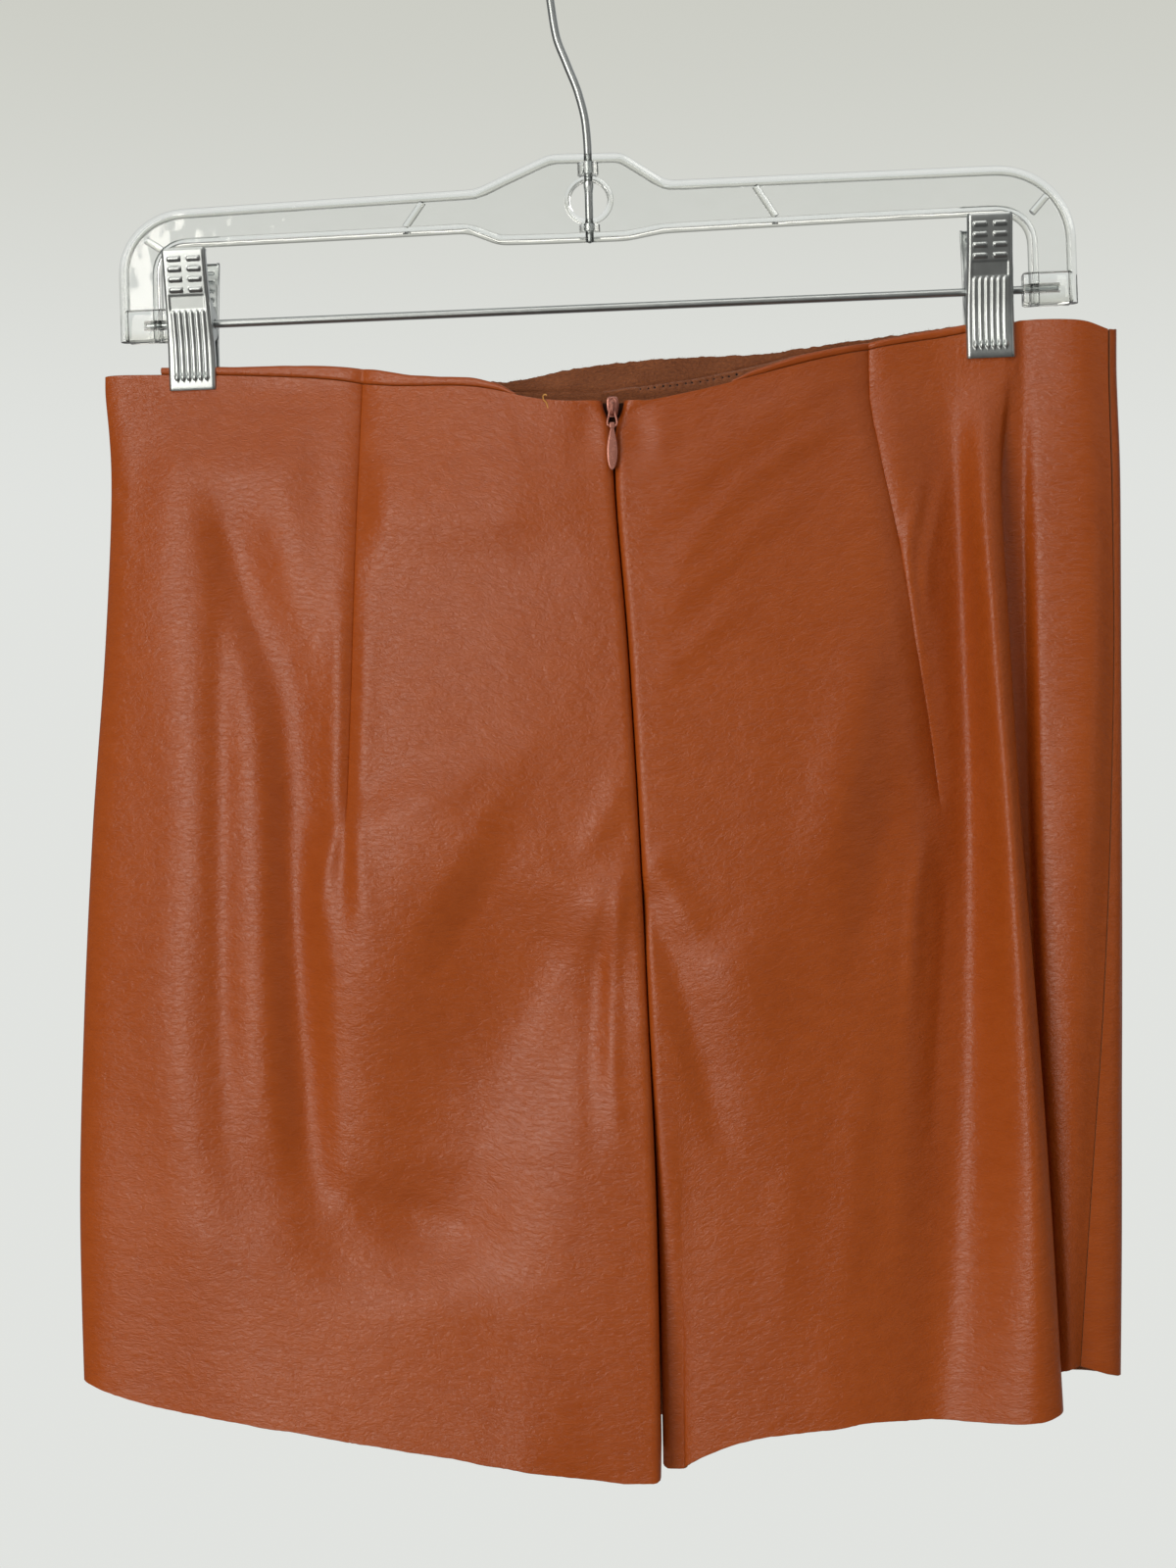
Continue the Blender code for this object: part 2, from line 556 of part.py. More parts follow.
def at_pivot(made):
    """Puts a piece's origin on the axis that the tab swings about."""
    across, out, drop = PIVOT
    made.location = (across * MM, -out * MM, -drop * MM)


def seen_from_back(across, below, out):
    return (across, -out, -below)


def seen_from_side(out, below, across):
    return (across, -out, -below)


def zip_slider(finish):
    """The slider's body, which narrows downwards, and on its front the loop that the tab hangs in."""
    slider = prism("zip_slider", SLIDER, SLIDER_BACK, SLIDER_FRONT, seen_from_back, finish)
    boolean(slider, prism("slider_loop", LOOP_SIDE, -LOOP / 2, LOOP / 2, seen_from_side, finish), "UNION")
    eye = prism("slider_eye", circle(EYE_RADIUS, (0.0, 0.0), 10), -LOOP, LOOP, seen_from_side, finish)
    boolean(slider, eye, "DIFFERENCE")
    at_pivot(slider)


def zip_pull(finish):
    """The tab: a ring through the slider's loop, and below it a flat drop shape."""
    other_half = [(-across, below) for across, below in TAB_HALF[-2::-1]]
    pull = prism("zip_pull", (*TAB_HALF, *other_half), -TAB / 2, TAB / 2, seen_from_back, finish)
    boolean(pull, prism("pull_hole", TAB_HOLE, -2 * TAB, 2 * TAB, seen_from_back, finish), "DIFFERENCE")
    at_pivot(pull)


def tilted_hanger():
    """An empty at the centre of the hanger's ring, turned as the hanger hangs, that carries its pieces."""
    holder = bpy.data.objects.new("hanger", None)
    holder.location.z = -RING_DROP * MM
    holder.rotation_euler.y = -TILT
    bpy.context.scene.collection.objects.link(holder)
    return holder


def on_bar(made, holder, place=0.0):
    """Puts a piece's origin on the bar's axis, at a place along it."""
    made.parent = holder
    made.location = (place * MM, 0.0, BAR_HEIGHT * MM)


# Ways to carry an outline on the hanger: up its height, through its depth, or lengthways along its bar.
def upright(along_bar, out, height):
    return (along_bar, -out, height)


def through(along_bar, height, out):
    return (along_bar, -out, height)


def lengthways(height, out, along_bar):
    return (along_bar, -out, height)


# The plastic frame's edges as (outer along, outer height, inner along, inner height), between its corners.
FRAME_TOP = (
    (-95.0, 4.9, -95.0, -10.8),
    (-42.0, 6.0, -45.5, -10.3),
    (-33.0, 10.0, -34.0, -15.2),
    (-14.3, 17.8, -14.5, -15.5),
    (0.0, 17.6, 0.0, -15.6),
    (13.0, 17.2, 13.8, -15.6),
    (29.0, 6.2, 27.0, -13.4),
    (90.0, 6.2, 90.0, -12.6),
)
LEFT_CORNER = (-152.0, -20.0, 25.4, 23.6, 9.0, 8.8)
RIGHT_CORNER = (150.0, -22.0, 28.8, 28.2, 11.0, 9.8)
CORNER_STEPS = 6
ARM_FOOT = -45.6
BEAD = 2.6
BEAD_HALF_DEPTH = 2.4
WEB_HALF_DEPTH = 0.8
RING_RADIUS = 8.0
RING_HALF_WIDTH = 1.2
RING_HALF_DEPTH = 2.0
BOSS_RADIUS = 4.4
BOSSES = (("upper_boss", 7.0, 18.2), ("lower_boss", -17.4, -7.0))
HOOK_BORE_FOOT = -16.3
RIBS = (
    ("left_rib", (-71.0, -10.0), (-60.0, 5.0)),
    ("right_rib", (60.0, 5.6), (71.0, -12.0)),
    ("left_corner_rib", (-169.0, -6.0), (-158.0, -13.4)),
    ("right_corner_rib", (161.0, -14.0), (170.5, -3.5)),
)
RIB_HALF_WIDTH = 0.7
RIB_HALF_DEPTH = 1.6
SOCKETS = (("left_socket", -174.9, -158.8), ("right_socket", 158.8, 176.6))
SOCKET_FOOT = -46.0
SOCKET_HEAD = -34.0
SOCKET_HALF_DEPTH = 4.2


def corner(values, side):
    """Stations round one corner of the frame, from the arm to the top on the left and back on the right."""
    along_bar, height, outer_wide, outer_tall, inner_wide, inner_tall = values
    stations = []
    for step in range(CORNER_STEPS + 1):
        angle = math.pi / 2 * step / CORNER_STEPS
        wide, tall = side * math.cos(angle), math.sin(angle)
        stations.append((along_bar + outer_wide * wide, height + outer_tall * tall,
                         along_bar + inner_wide * wide, height + inner_tall * tall))
    return stations if side < 0 else stations[::-1]


def frame_stations():
    """The frame's outer and inner edges, from the foot of the left arm to the foot of the right one."""
    left = corner(LEFT_CORNER, -1)
    right = corner(RIGHT_CORNER, 1)
    left_foot = (left[0][0], ARM_FOOT, left[0][2], ARM_FOOT)
    right_foot = (right[-1][0], ARM_FOOT, right[-1][2], ARM_FOOT)
    return [left_foot, *left, *FRAME_TOP, *right, right_foot]


def hanger_frame(finish, holder):
    """The moulded frame: an I-shaped section carried from arm to arm, with a ring, two bosses and sockets."""
    points, faces = [], []
    stations = frame_stations()
    for outer_along, outer_height, inner_along, inner_height in stations:
        outer = np.array((outer_along, outer_height))
        inner = np.array((inner_along, inner_height))
        step = (inner - outer) / np.linalg.norm(inner - outer) * BEAD
        section = ((outer, -1, BEAD_HALF_DEPTH), (outer + step, -1, BEAD_HALF_DEPTH),
                   (outer + step, -1, WEB_HALF_DEPTH), (inner - step, -1, WEB_HALF_DEPTH),
                   (inner - step, -1, BEAD_HALF_DEPTH), (inner, -1, BEAD_HALF_DEPTH))
        loop = list(section) + [(place, 1, depth) for place, _, depth in reversed(section)]
        points += [through(*place, side * depth) for place, side, depth in loop]
    sides = 12
    for station in range(len(stations) - 1):
        for i in range(sides):
            first, second = station * sides + i, station * sides + (i + 1) % sides
            faces.append((first, second, second + sides, first + sides))
    faces.append(tuple(range(sides)))
    faces.append(tuple(range(len(points) - sides, len(points))))
    frame = mesh_object("hanger_frame", points, faces, finish)

    frame.parent = holder

    def add(name, outline, low, high, place, operation="UNION"):
        boolean(frame, prism(name, outline, low, high, place, finish), operation)

    for name, low, high in BOSSES:
        add(name, circle(BOSS_RADIUS, (0.0, 0.0), 16), low, high, upright)
    rim = circle(RING_RADIUS + RING_HALF_WIDTH, (0.0, 0.0), 24)
    add("ring", rim, -RING_HALF_DEPTH, RING_HALF_DEPTH, through)
    for name, foot, head in RIBS:
        foot, head = np.array(foot), np.array(head)
        run = head - foot
        wide = np.array((-run[1], run[0])) / np.linalg.norm(run) * RIB_HALF_WIDTH
        outline = [tuple(place) for place in (foot - wide, head - wide, head + wide, foot + wide)]
        add(name, outline, -RIB_HALF_DEPTH, RIB_HALF_DEPTH, through)
    for name, low, high in SOCKETS:
        block = [(low, SOCKET_FOOT), (high, SOCKET_FOOT), (high, SOCKET_HEAD), (low, SOCKET_HEAD)]
        add(name, block, -SOCKET_HALF_DEPTH, SOCKET_HALF_DEPTH, through)
    add("ring_hole", circle(RING_RADIUS - RING_HALF_WIDTH, (0.0, 0.0), 24), -6.0, 6.0, through, "DIFFERENCE")
    bore = WIRE / 2 + BORE_PLAY
    add("hook_bore", circle(bore, (0.0, 0.0), 12), HOOK_BORE_FOOT, 30.0, upright, "DIFFERENCE")
    for name, low, high in (("left_bar_bore", BAR_ENDS[0] - BORE_PLAY, -140.0),
                            ("right_bar_bore", 140.0, BAR_ENDS[1] + BORE_PLAY)):
        add(name, circle(bore, (BAR_HEIGHT, 0.0), 12), low, high, lengthways, "DIFFERENCE")


def wire(name, points, finish, resolution=2):
    """Round wire of WIRE diameter along points in space, closed at both ends."""
    curve = bpy.data.curves.new(name, "CURVE")
    curve.dimensions = "3D"
    curve.bevel_depth = WIRE / 2 * MM
    curve.bevel_resolution = resolution
    curve.use_fill_caps = True
    spline = curve.splines.new("POLY")
    spline.points.add(len(points) - 1)
    for place, point in zip(points, spline.points):
        point.co = (*(value * MM for value in place), 1.0)
    curve.materials.append(finish)
    made = bpy.data.objects.new(name, curve)
    bpy.context.scene.collection.objects.link(made)
    return made


# The hook's wire as (across, drop) from its foot in the lower boss to where its round bend begins.
HOOK_RISE = ((0.4, 125.0), (0.1, 114.0), (-0.3, 97.0), (-0.5, 90.0), (-1.3, 80.5), (-3.9, 69.5), (-8.4, 58.0),
             (-12.2, 48.0), (-14.2, 36.0), (-15.6, 25.0))
HOOK_BEND_STEPS = 20
HOOK_BEND_END = math.radians(-38.0)


def hook_path():
    """The wire's rise as a smooth curve, then the round bend that hangs on the rail."""
    rise = along(HOOK_RISE, 26)
    bend_drop = HOOK_RADIUS - WIRE / 2
    angles = np.linspace(math.pi, HOOK_BEND_END, HOOK_BEND_STEPS)
    bend = np.stack((HOOK_RADIUS * np.cos(angles), bend_drop - HOOK_RADIUS * np.sin(angles)), -1)
    return [(across, 0.0, -drop) for across, drop in np.concatenate((rise, bend))]


# The side of a clip's jaw, from its thumb end to its tip, and of its flange, as (above the bar, out).
JAW_SIDE = ((25.5, 14.0), (21.0, 13.2), (12.0, 10.8), (0.0, 7.3), (-10.0, 5.0), (-18.0, 4.45), (-25.0, 4.45))
FLANGE = ((9.0, 9.6), (-8.5, 5.1), (-4.5, -3.2), (4.0, -3.2))
FLANGE_PLACES = {1: 8.0, -1: 6.5}
SPRING_RADII = (2.2, 3.9)
SPRING_HALF_LENGTH = 5.4


def jaw(name, place, face, finish, holder):
    """One jaw of a clip: a bent plate with two flanges that the bar runs through. face is 1 at the back."""
    edges = (-CLIP_WIDTH / 2, 0.0, CLIP_WIDTH / 2) if face > 0 else (CLIP_WIDTH / 2, 0.0, -CLIP_WIDTH / 2)
    plate = [[lengthways(above, face * out, edge) for above, out in JAW_SIDE] for edge in edges]
    made = wall_object(name, np.array(plate), finish, SHEET)
    flange = [(above, face * out) for above, out in FLANGE]
    for side in (-1, 1):
        low = side * FLANGE_PLACES[face] - SHEET / 2
        boolean(made, prism(f"{name}_flange_{side}", flange, low, low + SHEET, lengthways, finish), "UNION")
    hole = circle(WIRE / 2 + BORE_PLAY, (0.0, 0.0), 12)
    boolean(made, prism(f"{name}_bore", hole, -CLIP_WIDTH, CLIP_WIDTH, lengthways, finish), "DIFFERENCE")
    on_bar(made, holder, place)


def clip_spring(name, place, finish, holder):
    """The clip's coiled spring, as the hollow round the bar that its coils fill between the flanges."""
    inner, outer = (circle(radius, (0.0, 0.0), 16) for radius in SPRING_RADII)
    made = prism(name, outer, -SPRING_HALF_LENGTH, SPRING_HALF_LENGTH, lengthways, finish)
    bore = prism(f"{name}_bore", inner, -CLIP_WIDTH, CLIP_WIDTH, lengthways, finish)
    boolean(made, bore, "DIFFERENCE")
    on_bar(made, holder, place)


def cloth(finish):
    """The skort's own pieces: two backs, two shorts fronts, the front skirt and the facings."""
    left, right = back_left_grid(), back_right_grid()
    wall_object("back_left", left, finish["leather"])
    wall_object("back_right", right, finish["leather"])
    wall_object("front_skirt", in_space(sheet(SKIRT, HIDDEN_ROWS)), finish["leather"])
    wall_object("front_left", front_left_grid(), finish["leather"])
    wall_object("front_right", front_right_grid(), finish["leather"])
    wall_object("front_facing", front_facing_grid(), finish["suede"])
    wall_object("back_facing_left", back_facing_grid(left, LEFT_BACK_FACING, 14), finish["leather"])
    wall_object("back_facing_right", back_facing_grid(right, RIGHT_BACK_FACING, 11), finish["leather"])


def zip_fastener(finish):
    """The concealed zip: tape, slider and the tab that swings on it."""
    wall_object("zip_tape", zip_tape_grid(), finish["tape"], TAPE)
    zip_slider(finish["paint"])
    zip_pull(finish["paint"])


def hanger(finish):
    """The clear hanger with its steel hook and bar, and the two clips on the bar."""
    holder = tilted_hanger()
    hanger_frame(finish["plastic"], holder)
    wire("hanger_hook", hook_path(), finish["steel"])
    on_bar(wire("hanger_bar", [(end, 0.0, 0.0) for end in BAR_ENDS], finish["steel"], 4), holder)
    for side, place in CLIP_PLACES.items():
        jaw(f"clip_{side}_jaw_back", place, 1, finish["steel"], holder)
        jaw(f"clip_{side}_jaw_front", place, -1, finish["steel"], holder)
        clip_spring(f"clip_{side}_spring", place, finish["steel"], holder)


def main():
    clear_scene()
    finish = finishes()
    cloth(finish)
    zip_fastener(finish)
    hanger(finish)


main()
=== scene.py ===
"""A faux-leather skort on its clear clip hanger, seen from its zipped back in a plain pale studio.

The pieces' lengths are in millimetres, which MM turns into metres. A drop is a distance below the rail. An
out is a distance from the hanger's plane, towards the back when it is positive.
"""

import math
from collections import namedtuple

import bmesh
import bpy
import numpy as np
from mathutils import Matrix


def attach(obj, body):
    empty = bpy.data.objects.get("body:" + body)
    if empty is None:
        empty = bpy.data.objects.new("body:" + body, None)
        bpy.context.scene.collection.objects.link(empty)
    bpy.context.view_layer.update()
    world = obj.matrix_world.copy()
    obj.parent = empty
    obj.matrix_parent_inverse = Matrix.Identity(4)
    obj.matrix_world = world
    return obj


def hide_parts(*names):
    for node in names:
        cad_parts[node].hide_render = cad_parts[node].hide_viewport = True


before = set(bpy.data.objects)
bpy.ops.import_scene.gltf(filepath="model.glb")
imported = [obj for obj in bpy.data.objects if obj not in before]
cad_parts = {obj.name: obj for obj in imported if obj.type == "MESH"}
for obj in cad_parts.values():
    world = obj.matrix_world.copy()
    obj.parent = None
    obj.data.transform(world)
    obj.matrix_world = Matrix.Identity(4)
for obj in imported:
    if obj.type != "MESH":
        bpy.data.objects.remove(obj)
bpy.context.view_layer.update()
MM = 0.001


# The studio, in metres. The camera stands square to the garment, a little to its left, as the photograph was
# taken. A tall soft window stands on the left, with a weaker light overhead and a narrow fill on the right.

studio = bpy.context.scene
camera = bpy.data.objects.new("camera", bpy.data.cameras.new("camera"))
camera.data.sensor_width = 36.0
camera.data.lens = 53.72
camera.location = (0.0452, -0.8688, -0.3261)
camera.rotation_euler = (math.radians(90.0), 0.0, math.radians(3.0))
studio.collection.objects.link(camera)
studio.camera = camera
studio.view_settings.view_transform = "Standard"

GARMENT_MIDDLE = (0.0, 0.0, -0.38)


def unit(vectors):
    """The same directions, each one long. A vector of no length stays so."""
    return vectors / np.maximum(np.linalg.norm(vectors, axis=-1, keepdims=True), 1e-12)


def stacked(*columns):
    """Columns side by side as rows of points. A single value fills its whole column."""
    return np.stack(np.broadcast_arrays(*columns), -1)


def softbox(name, place, size, watts):
    """A rectangular soft light at a place, turned to face the middle of the garment."""
    light = bpy.data.lights.new(name, "AREA")
    light.shape = "RECTANGLE"
    light.size, light.size_y = size
    light.energy = watts
    light.color = (1.0, 0.955, 0.88)
    made = bpy.data.objects.new(name, light)
    facing = unit(np.subtract(GARMENT_MIDDLE, place))
    across = unit(np.cross(facing, (0.0, 0.0, 1.0)))
    turned = stacked(across, np.cross(across, facing), -facing)
    made.matrix_world = Matrix.LocRotScale(place, Matrix(turned).to_quaternion(), None)
    studio.collection.objects.link(made)


softbox("left window", (-1.08, -1.85, -0.2), (0.95, 1.65), 22.0)
softbox("overhead light", (0.0, -1.5, 1.65), (2.0, 1.1), 9.0)
softbox("right fill", (1.9, -1.4, 0.1), (0.5, 1.5), 1.8)


class Value:
    """A socket whose value varies over a surface. Arithmetic on it adds Math nodes."""

    def __init__(self, finish, socket):
        self.finish = finish
        self.socket = socket

    def joined(self, operation, *terms):
        return self.finish.node("ShaderNodeMath", {"operation": operation}, dict(enumerate(terms)))

    def __add__(self, other):
        return self.joined("ADD", self, other)

    def __radd__(self, other):
        return self.joined("ADD", other, self)

    def __sub__(self, other):
        return self.joined("SUBTRACT", self, other)

    def __rsub__(self, other):
        return self.joined("SUBTRACT", other, self)

    def __mul__(self, other):
        return self.joined("MULTIPLY", self, other)

    def __rmul__(self, other):
        return self.joined("MULTIPLY", other, self)

    def between(self, low, high):
        """0 below low, 1 above high, and an even S between them."""
        settings = {"interpolation_type": "SMOOTHSTEP"}
        return self.finish.node("ShaderNodeMapRange", settings, {0: self, 1: low, 2: high})


class Nodes:
    """The node tree of a material or of the room, and the ways to add to it."""

    def __init__(self, owner):
        owner.use_nodes = True
        self.owner = owner
        self.tree = owner.node_tree

    def feed(self, socket, value):
        if isinstance(value, Value):
            self.tree.links.new(value.socket, socket)
        else:
            socket.default_value = value

    def node(self, kind, settings=None, sockets=None, output=0):
        """A node of a kind: its settings first, then the values or links of its sockets."""
        made = self.tree.nodes.new(kind)
        for name, value in (settings or {}).items():
            setattr(made, name, value)
        for name, value in (sockets or {}).items():
            self.feed(made.inputs[name], value)
        return Value(self, made.outputs[output])

    def mixed(self, factor, first, second):
        """One colour turning into another."""
        return self.node("ShaderNodeMix", {"data_type": "RGBA"}, {0: factor, 6: first, 7: second}, 2)


# The wall behind is pale. It lights the hidden front, more from one side than the other so that the folds
# show. Clear plastic bends the view aside into the darker room, and a shine shows the room dimmer than it is.
room = Nodes(bpy.data.worlds.new("pale room"))
studio.world = room.owner
toward = room.node("ShaderNodeTexCoord")
aside, ahead, height = (room.node("ShaderNodeSeparateXYZ", None, {0: toward}, axis) for axis in range(3))
straight_on, shine, through = (room.node("ShaderNodeLightPath", None, None, way) for way in (0, 3, 6))
from_behind = ahead.between(0.1, 0.9) * (0.25 + 0.75 * aside.between(-0.7, 0.7))
# The wall as seen is painted darker towards its top: painted shade, where less light falls on the upper wall.
wall_colour = room.mixed(height.between(0.1, 0.36), (0.755, 0.77, 0.745, 1.0), (0.595, 0.60, 0.545, 1.0))
bent_aside = through * (1.0 - ahead.between(0.62, 0.9))
wall_light = room.node("ShaderNodeBackground", None, {0: wall_colour, 1: 1.0 - 0.55 * bent_aside})
glow = 0.13 + 0.13 * height.between(-0.5, 0.9) + 0.8 * from_behind
shine_glow = 0.05 + 0.22 * height.between(-0.1, 0.85) + 0.4 * from_behind
room_strength = glow + shine * (shine_glow - glow)
room_light = room.node("ShaderNodeBackground", None, {0: (1.0, 0.99, 0.97, 1.0), 1: room_strength})
seen = straight_on.joined("MAXIMUM", straight_on, through)
sky = room.node("ShaderNodeMixShader", None, {0: seen, 1: room_light, 2: wall_light})
room.feed(room.tree.nodes["World Output"].inputs[0], sky)


def turns(count):
    """Angles spaced evenly round a circle."""
    return np.linspace(0.0, 2 * math.pi, count, endpoint=False)


# The floor lies far below the hem, and isn't mirrored in any shine.
FLOOR_RADIUS = 1.9
FLOOR_HEIGHT = -1.5
floor_turn = turns(48)
floor_rim = stacked(FLOOR_RADIUS * np.cos(floor_turn), FLOOR_RADIUS * np.sin(floor_turn), FLOOR_HEIGHT)
floor_mesh = bpy.data.meshes.new("floor")
floor_mesh.from_pydata(floor_rim.tolist(), [], [tuple(range(48))])
floor = bpy.data.objects.new("floor", floor_mesh)
studio.collection.objects.link(floor)
floor.visible_glossy = False


class Finish(Nodes):
    """A material: its Principled shader with the values that are the same all over."""

    def __init__(self, name, **steady):
        super().__init__(bpy.data.materials.new(name))
        self.shader = self.tree.nodes["Principled BSDF"]
        for socket, value in steady.items():
            self.shader.inputs[socket.replace("_", " ")].default_value = value

    def varies(self, socket, value):
        self.feed(self.shader.inputs[socket], value)

    def tinted(self, factor, first, second):
        """The colour: one where the factor is 0, turning into another where it is 1."""
        self.varies("Base Color", self.mixed(factor, (*first, 1.0), (*second, 1.0)))

    def place(self, *scale, turn=0.0):
        """Where a point lies on its piece, in millimetres across, down and through, times a scale."""
        spot = self.node("ShaderNodeAttribute", {"attribute_name": "cloth"}, None, 1)
        return self.scaled(spot, scale, turn)

    def solid_place(self, scale):
        """Where a point lies in its piece, in metres times a scale."""
        spot = self.node("ShaderNodeTexCoord", None, None, 3)
        return self.scaled(spot, (scale, scale, scale))

    def scaled(self, spot, scale, turn=0.0):
        settings = {"vector_type": "POINT"}
        return self.node("ShaderNodeMapping", settings, {0: spot, 2: (0.0, 0.0, turn), 3: scale})

    def noise(self, spot, detail=2.0, rough=0.5, bent=0.0):
        values = {"Vector": spot, "Scale": 1.0, "Detail": detail, "Roughness": rough, "Distortion": bent}
        return self.node("ShaderNodeTexNoise", None, values)

    def bumped(self, height, deep):
        """Small relief, deep in metres, on the shader's normal."""
        bump = self.node("ShaderNodeBump", None, {"Height": height, "Distance": deep, "Strength": 1.0})
        self.varies("Normal", bump)


floor_finish = Finish("pale floor", Roughness=0.8)
floor_cloud = floor_finish.noise(floor_finish.solid_place(2.5))
floor_finish.tinted(floor_cloud, (0.88, 0.885, 0.87), (0.92, 0.925, 0.91))
floor_mesh.materials.append(floor_finish.owner)


# The left back, cut in one with its leg from coated cloth. One long dart shapes it, its centre edge turns
# in beside the zip and its hem is cut raw. It sags in a bowl between the dart and the leg's fold.

# WALL is the cloth's thickness, and PLY the room that one layer takes beside another. Each line below has its
# place at LEVELS, seven drops. The rest are drops down the centre seam and widths beside it.
WALL = 1.0
LEVELS = np.array((180.0, 210.0, 270.0, 340.0, 410.0, 480.0, 575.0))
ZIP_TOP = 187.0
ZIP_MOUTH = 7.4
ZIP_MOUTH_DEPTH = 13.0
SEAM_GAP = 0.3
PLY = 1.5
ALLOWANCE = 6.0
FRONT_ALLOWANCE = 3.2
CROTCH_TOP = 425.0
CROTCH = 467.0
INSEAM_HEM = 570.0

# A line runs down the cloth from the waist to the hem. Its across and its out are one value for each of
# LEVELS, a single value, or a rule. Its reach is how far the cloth's stiffness rounds it off on either side.
Line = namedtuple("Line", "name reach waist hem across out")


def smooth(knots, rows, at):
    """A cubic curve through one row for each knot, which never passes a row that is a local extreme."""
    rows = np.asarray(rows, float)
    extra = (1,) * (rows.ndim - 1)
    rises = np.diff(rows, axis=0) / np.diff(knots).reshape((-1, *extra))
    product = rises[:-1] * rises[1:]
    total = rises[:-1] + rises[1:]
    inner = np.where(product > 0, 2 * product / np.where(product > 0, total, 1.0), 0.0)
    slopes = np.concatenate((rises[:1], inner, rises[-1:]))
    place = np.clip(np.searchsorted(knots, at, side="right") - 1, 0, len(knots) - 2)
    step = np.diff(knots)[place]
    t = np.clip((at - knots[place]) / step, 0.0, 1.0)
    t = t.reshape(t.shape + extra)
    step = step.reshape(step.shape + extra)
    start = (1 + 2 * t) * (1 - t) ** 2 * rows[place] + t * (1 - t) ** 2 * step * slopes[place]
    end = t * t * (3 - 2 * t) * rows[place + 1] + t * t * (t - 1) * step * slopes[place + 1]
    return start + end


def ramp(value, low, high):
    """0 below low, 1 above high, and an even S between them."""
    t = np.clip((value - low) / (high - low), 0.0, 1.0)
    return t * t * (3 - 2 * t)


def rounded_off(places, reach, values):
    """Each value becomes the mean of those near it, weighted by a bell curve as wide as its reach."""
    room_left = np.minimum(places - places[0], places[-1] - places)
    wide = np.minimum(reach, 0.6 * room_left + 0.05)[:, None]
    weights = np.exp(-(((places[:, None] - places) / wide) ** 2)) * np.gradient(places)
    weights /= weights.sum(axis=1, keepdims=True)
    return np.tensordot(weights, values, axes=1)


def crowded(length, step, spots):
    """Places from 0 to a length, a step apart, and closer together within a few millimetres of the spots."""
    at = np.linspace(0.0, length, 4000)
    density = np.full(at.shape, 1 / step)
    for spot in spots:
        density += (1 / FINEST_STEP - 1 / step) * np.exp(-(((at - spot) / 4.0) ** 2))
    passed = np.concatenate(([0.0], np.cumsum((density[1:] + density[:-1]) / 2 * np.diff(at))))
    return np.interp(np.linspace(0.0, passed[-1], int(passed[-1]) + 2), passed, at)


def run_down(line, share):
    """One line's points from waist to hem, as columns across, drop and out."""
    drop = line.waist + (line.hem - line.waist) * share
    across, out = (value(drop) if callable(value) else
                   smooth(LEVELS, np.broadcast_to(value, LEVELS.shape), drop)
                   for value in (line.across, line.out))
    return stacked(across, drop, out)


FINE = 0.4
FINEST_STEP = 0.35
CLOTH_LENGTH = 400.0
DOWN_REACH = 15.0
SEAM_REACH = 45.0


def draped(lines, step, rows, seam=None):
    """A panel's middle surface: a smooth sheet through its lines, rounded off by the cloth's stiffness.

    Its columns stand a step apart. Beside a slanting seam, which is given as (across, drop) points, they
    stand closer and lean to run along it. Returns the grid, each point's place across the cloth and the
    lines' places.
    """
    share = np.concatenate(([0.0, 0.0015, 0.004], np.linspace(0.008, 0.997, rows - 5), [0.9987, 1.0]))
    runs = np.stack([run_down(line, share) for line in lines])
    apart = np.linalg.norm(np.diff(runs, axis=0), axis=-1).mean(axis=1)
    knots = np.concatenate(([0.0], np.cumsum(apart)))
    places = np.linspace(0.0, knots[-1], int(knots[-1] / FINE) + 2)
    reach = np.interp(places, knots, [line.reach for line in lines])
    fine = rounded_off(places, reach, smooth(knots, runs, places))
    drops = share * CLOTH_LENGTH
    fine = rounded_off(drops, DOWN_REACH, fine.transpose(1, 0, 2)).transpose(1, 0, 2)
    row = np.arange(rows)
    if seam is None:
        at = crowded(knots[-1], step, ())[:, None] + np.zeros(rows)
    else:
        path = np.array(seam, float)
        wanted = smooth(path[:, 1], path[:, 0], fine[len(fine) // 2, :, 1])
        on_seam = np.abs(fine[..., 0] - wanted).argmin(axis=0)
        run = on_seam * FINE + wanted - fine[on_seam, row, 0]
        middle = run.mean()
        shift = rounded_off(drops, 8.0, run) - middle
        stands = crowded(knots[-1], step, (middle,))[:, None]
        at = np.clip(stands + np.exp(-(((stands - middle) / SEAM_REACH) ** 2)) * shift, 0.0, knots[-1])
    at = at / (places[1] - places[0])
    low = np.minimum(at.astype(int), len(places) - 2)
    part = (at - low)[..., None]
    grid = fine[low, row] * (1 - part) + fine[low + 1, row] * part
    return grid, at * (places[1] - places[0]), knots


# A crease is a soft trough, or a ridge where its height is positive, along a path of (across, drop)
# points. Its inner side lies to the right of a path that runs down. A pointed one has a V section.
Crease = namedtuple("Crease", "name height outer inner path fades pointed", defaults=((0.3, 0.3), False))


def distance_along(points):
    """How far along its row each point lies, from the row's start."""
    steps = np.linalg.norm(np.diff(points, axis=-2), axis=-1)
    return np.concatenate((np.zeros((*steps.shape[:-1], 1)), np.cumsum(steps, axis=-1)), axis=-1)


def along(path, count):
    """A smooth curve through a path's points, as a count of points spaced evenly."""
    points = np.array(path, float)
    knots = distance_along(points)
    return smooth(knots, points, np.linspace(0.0, knots[-1], count))


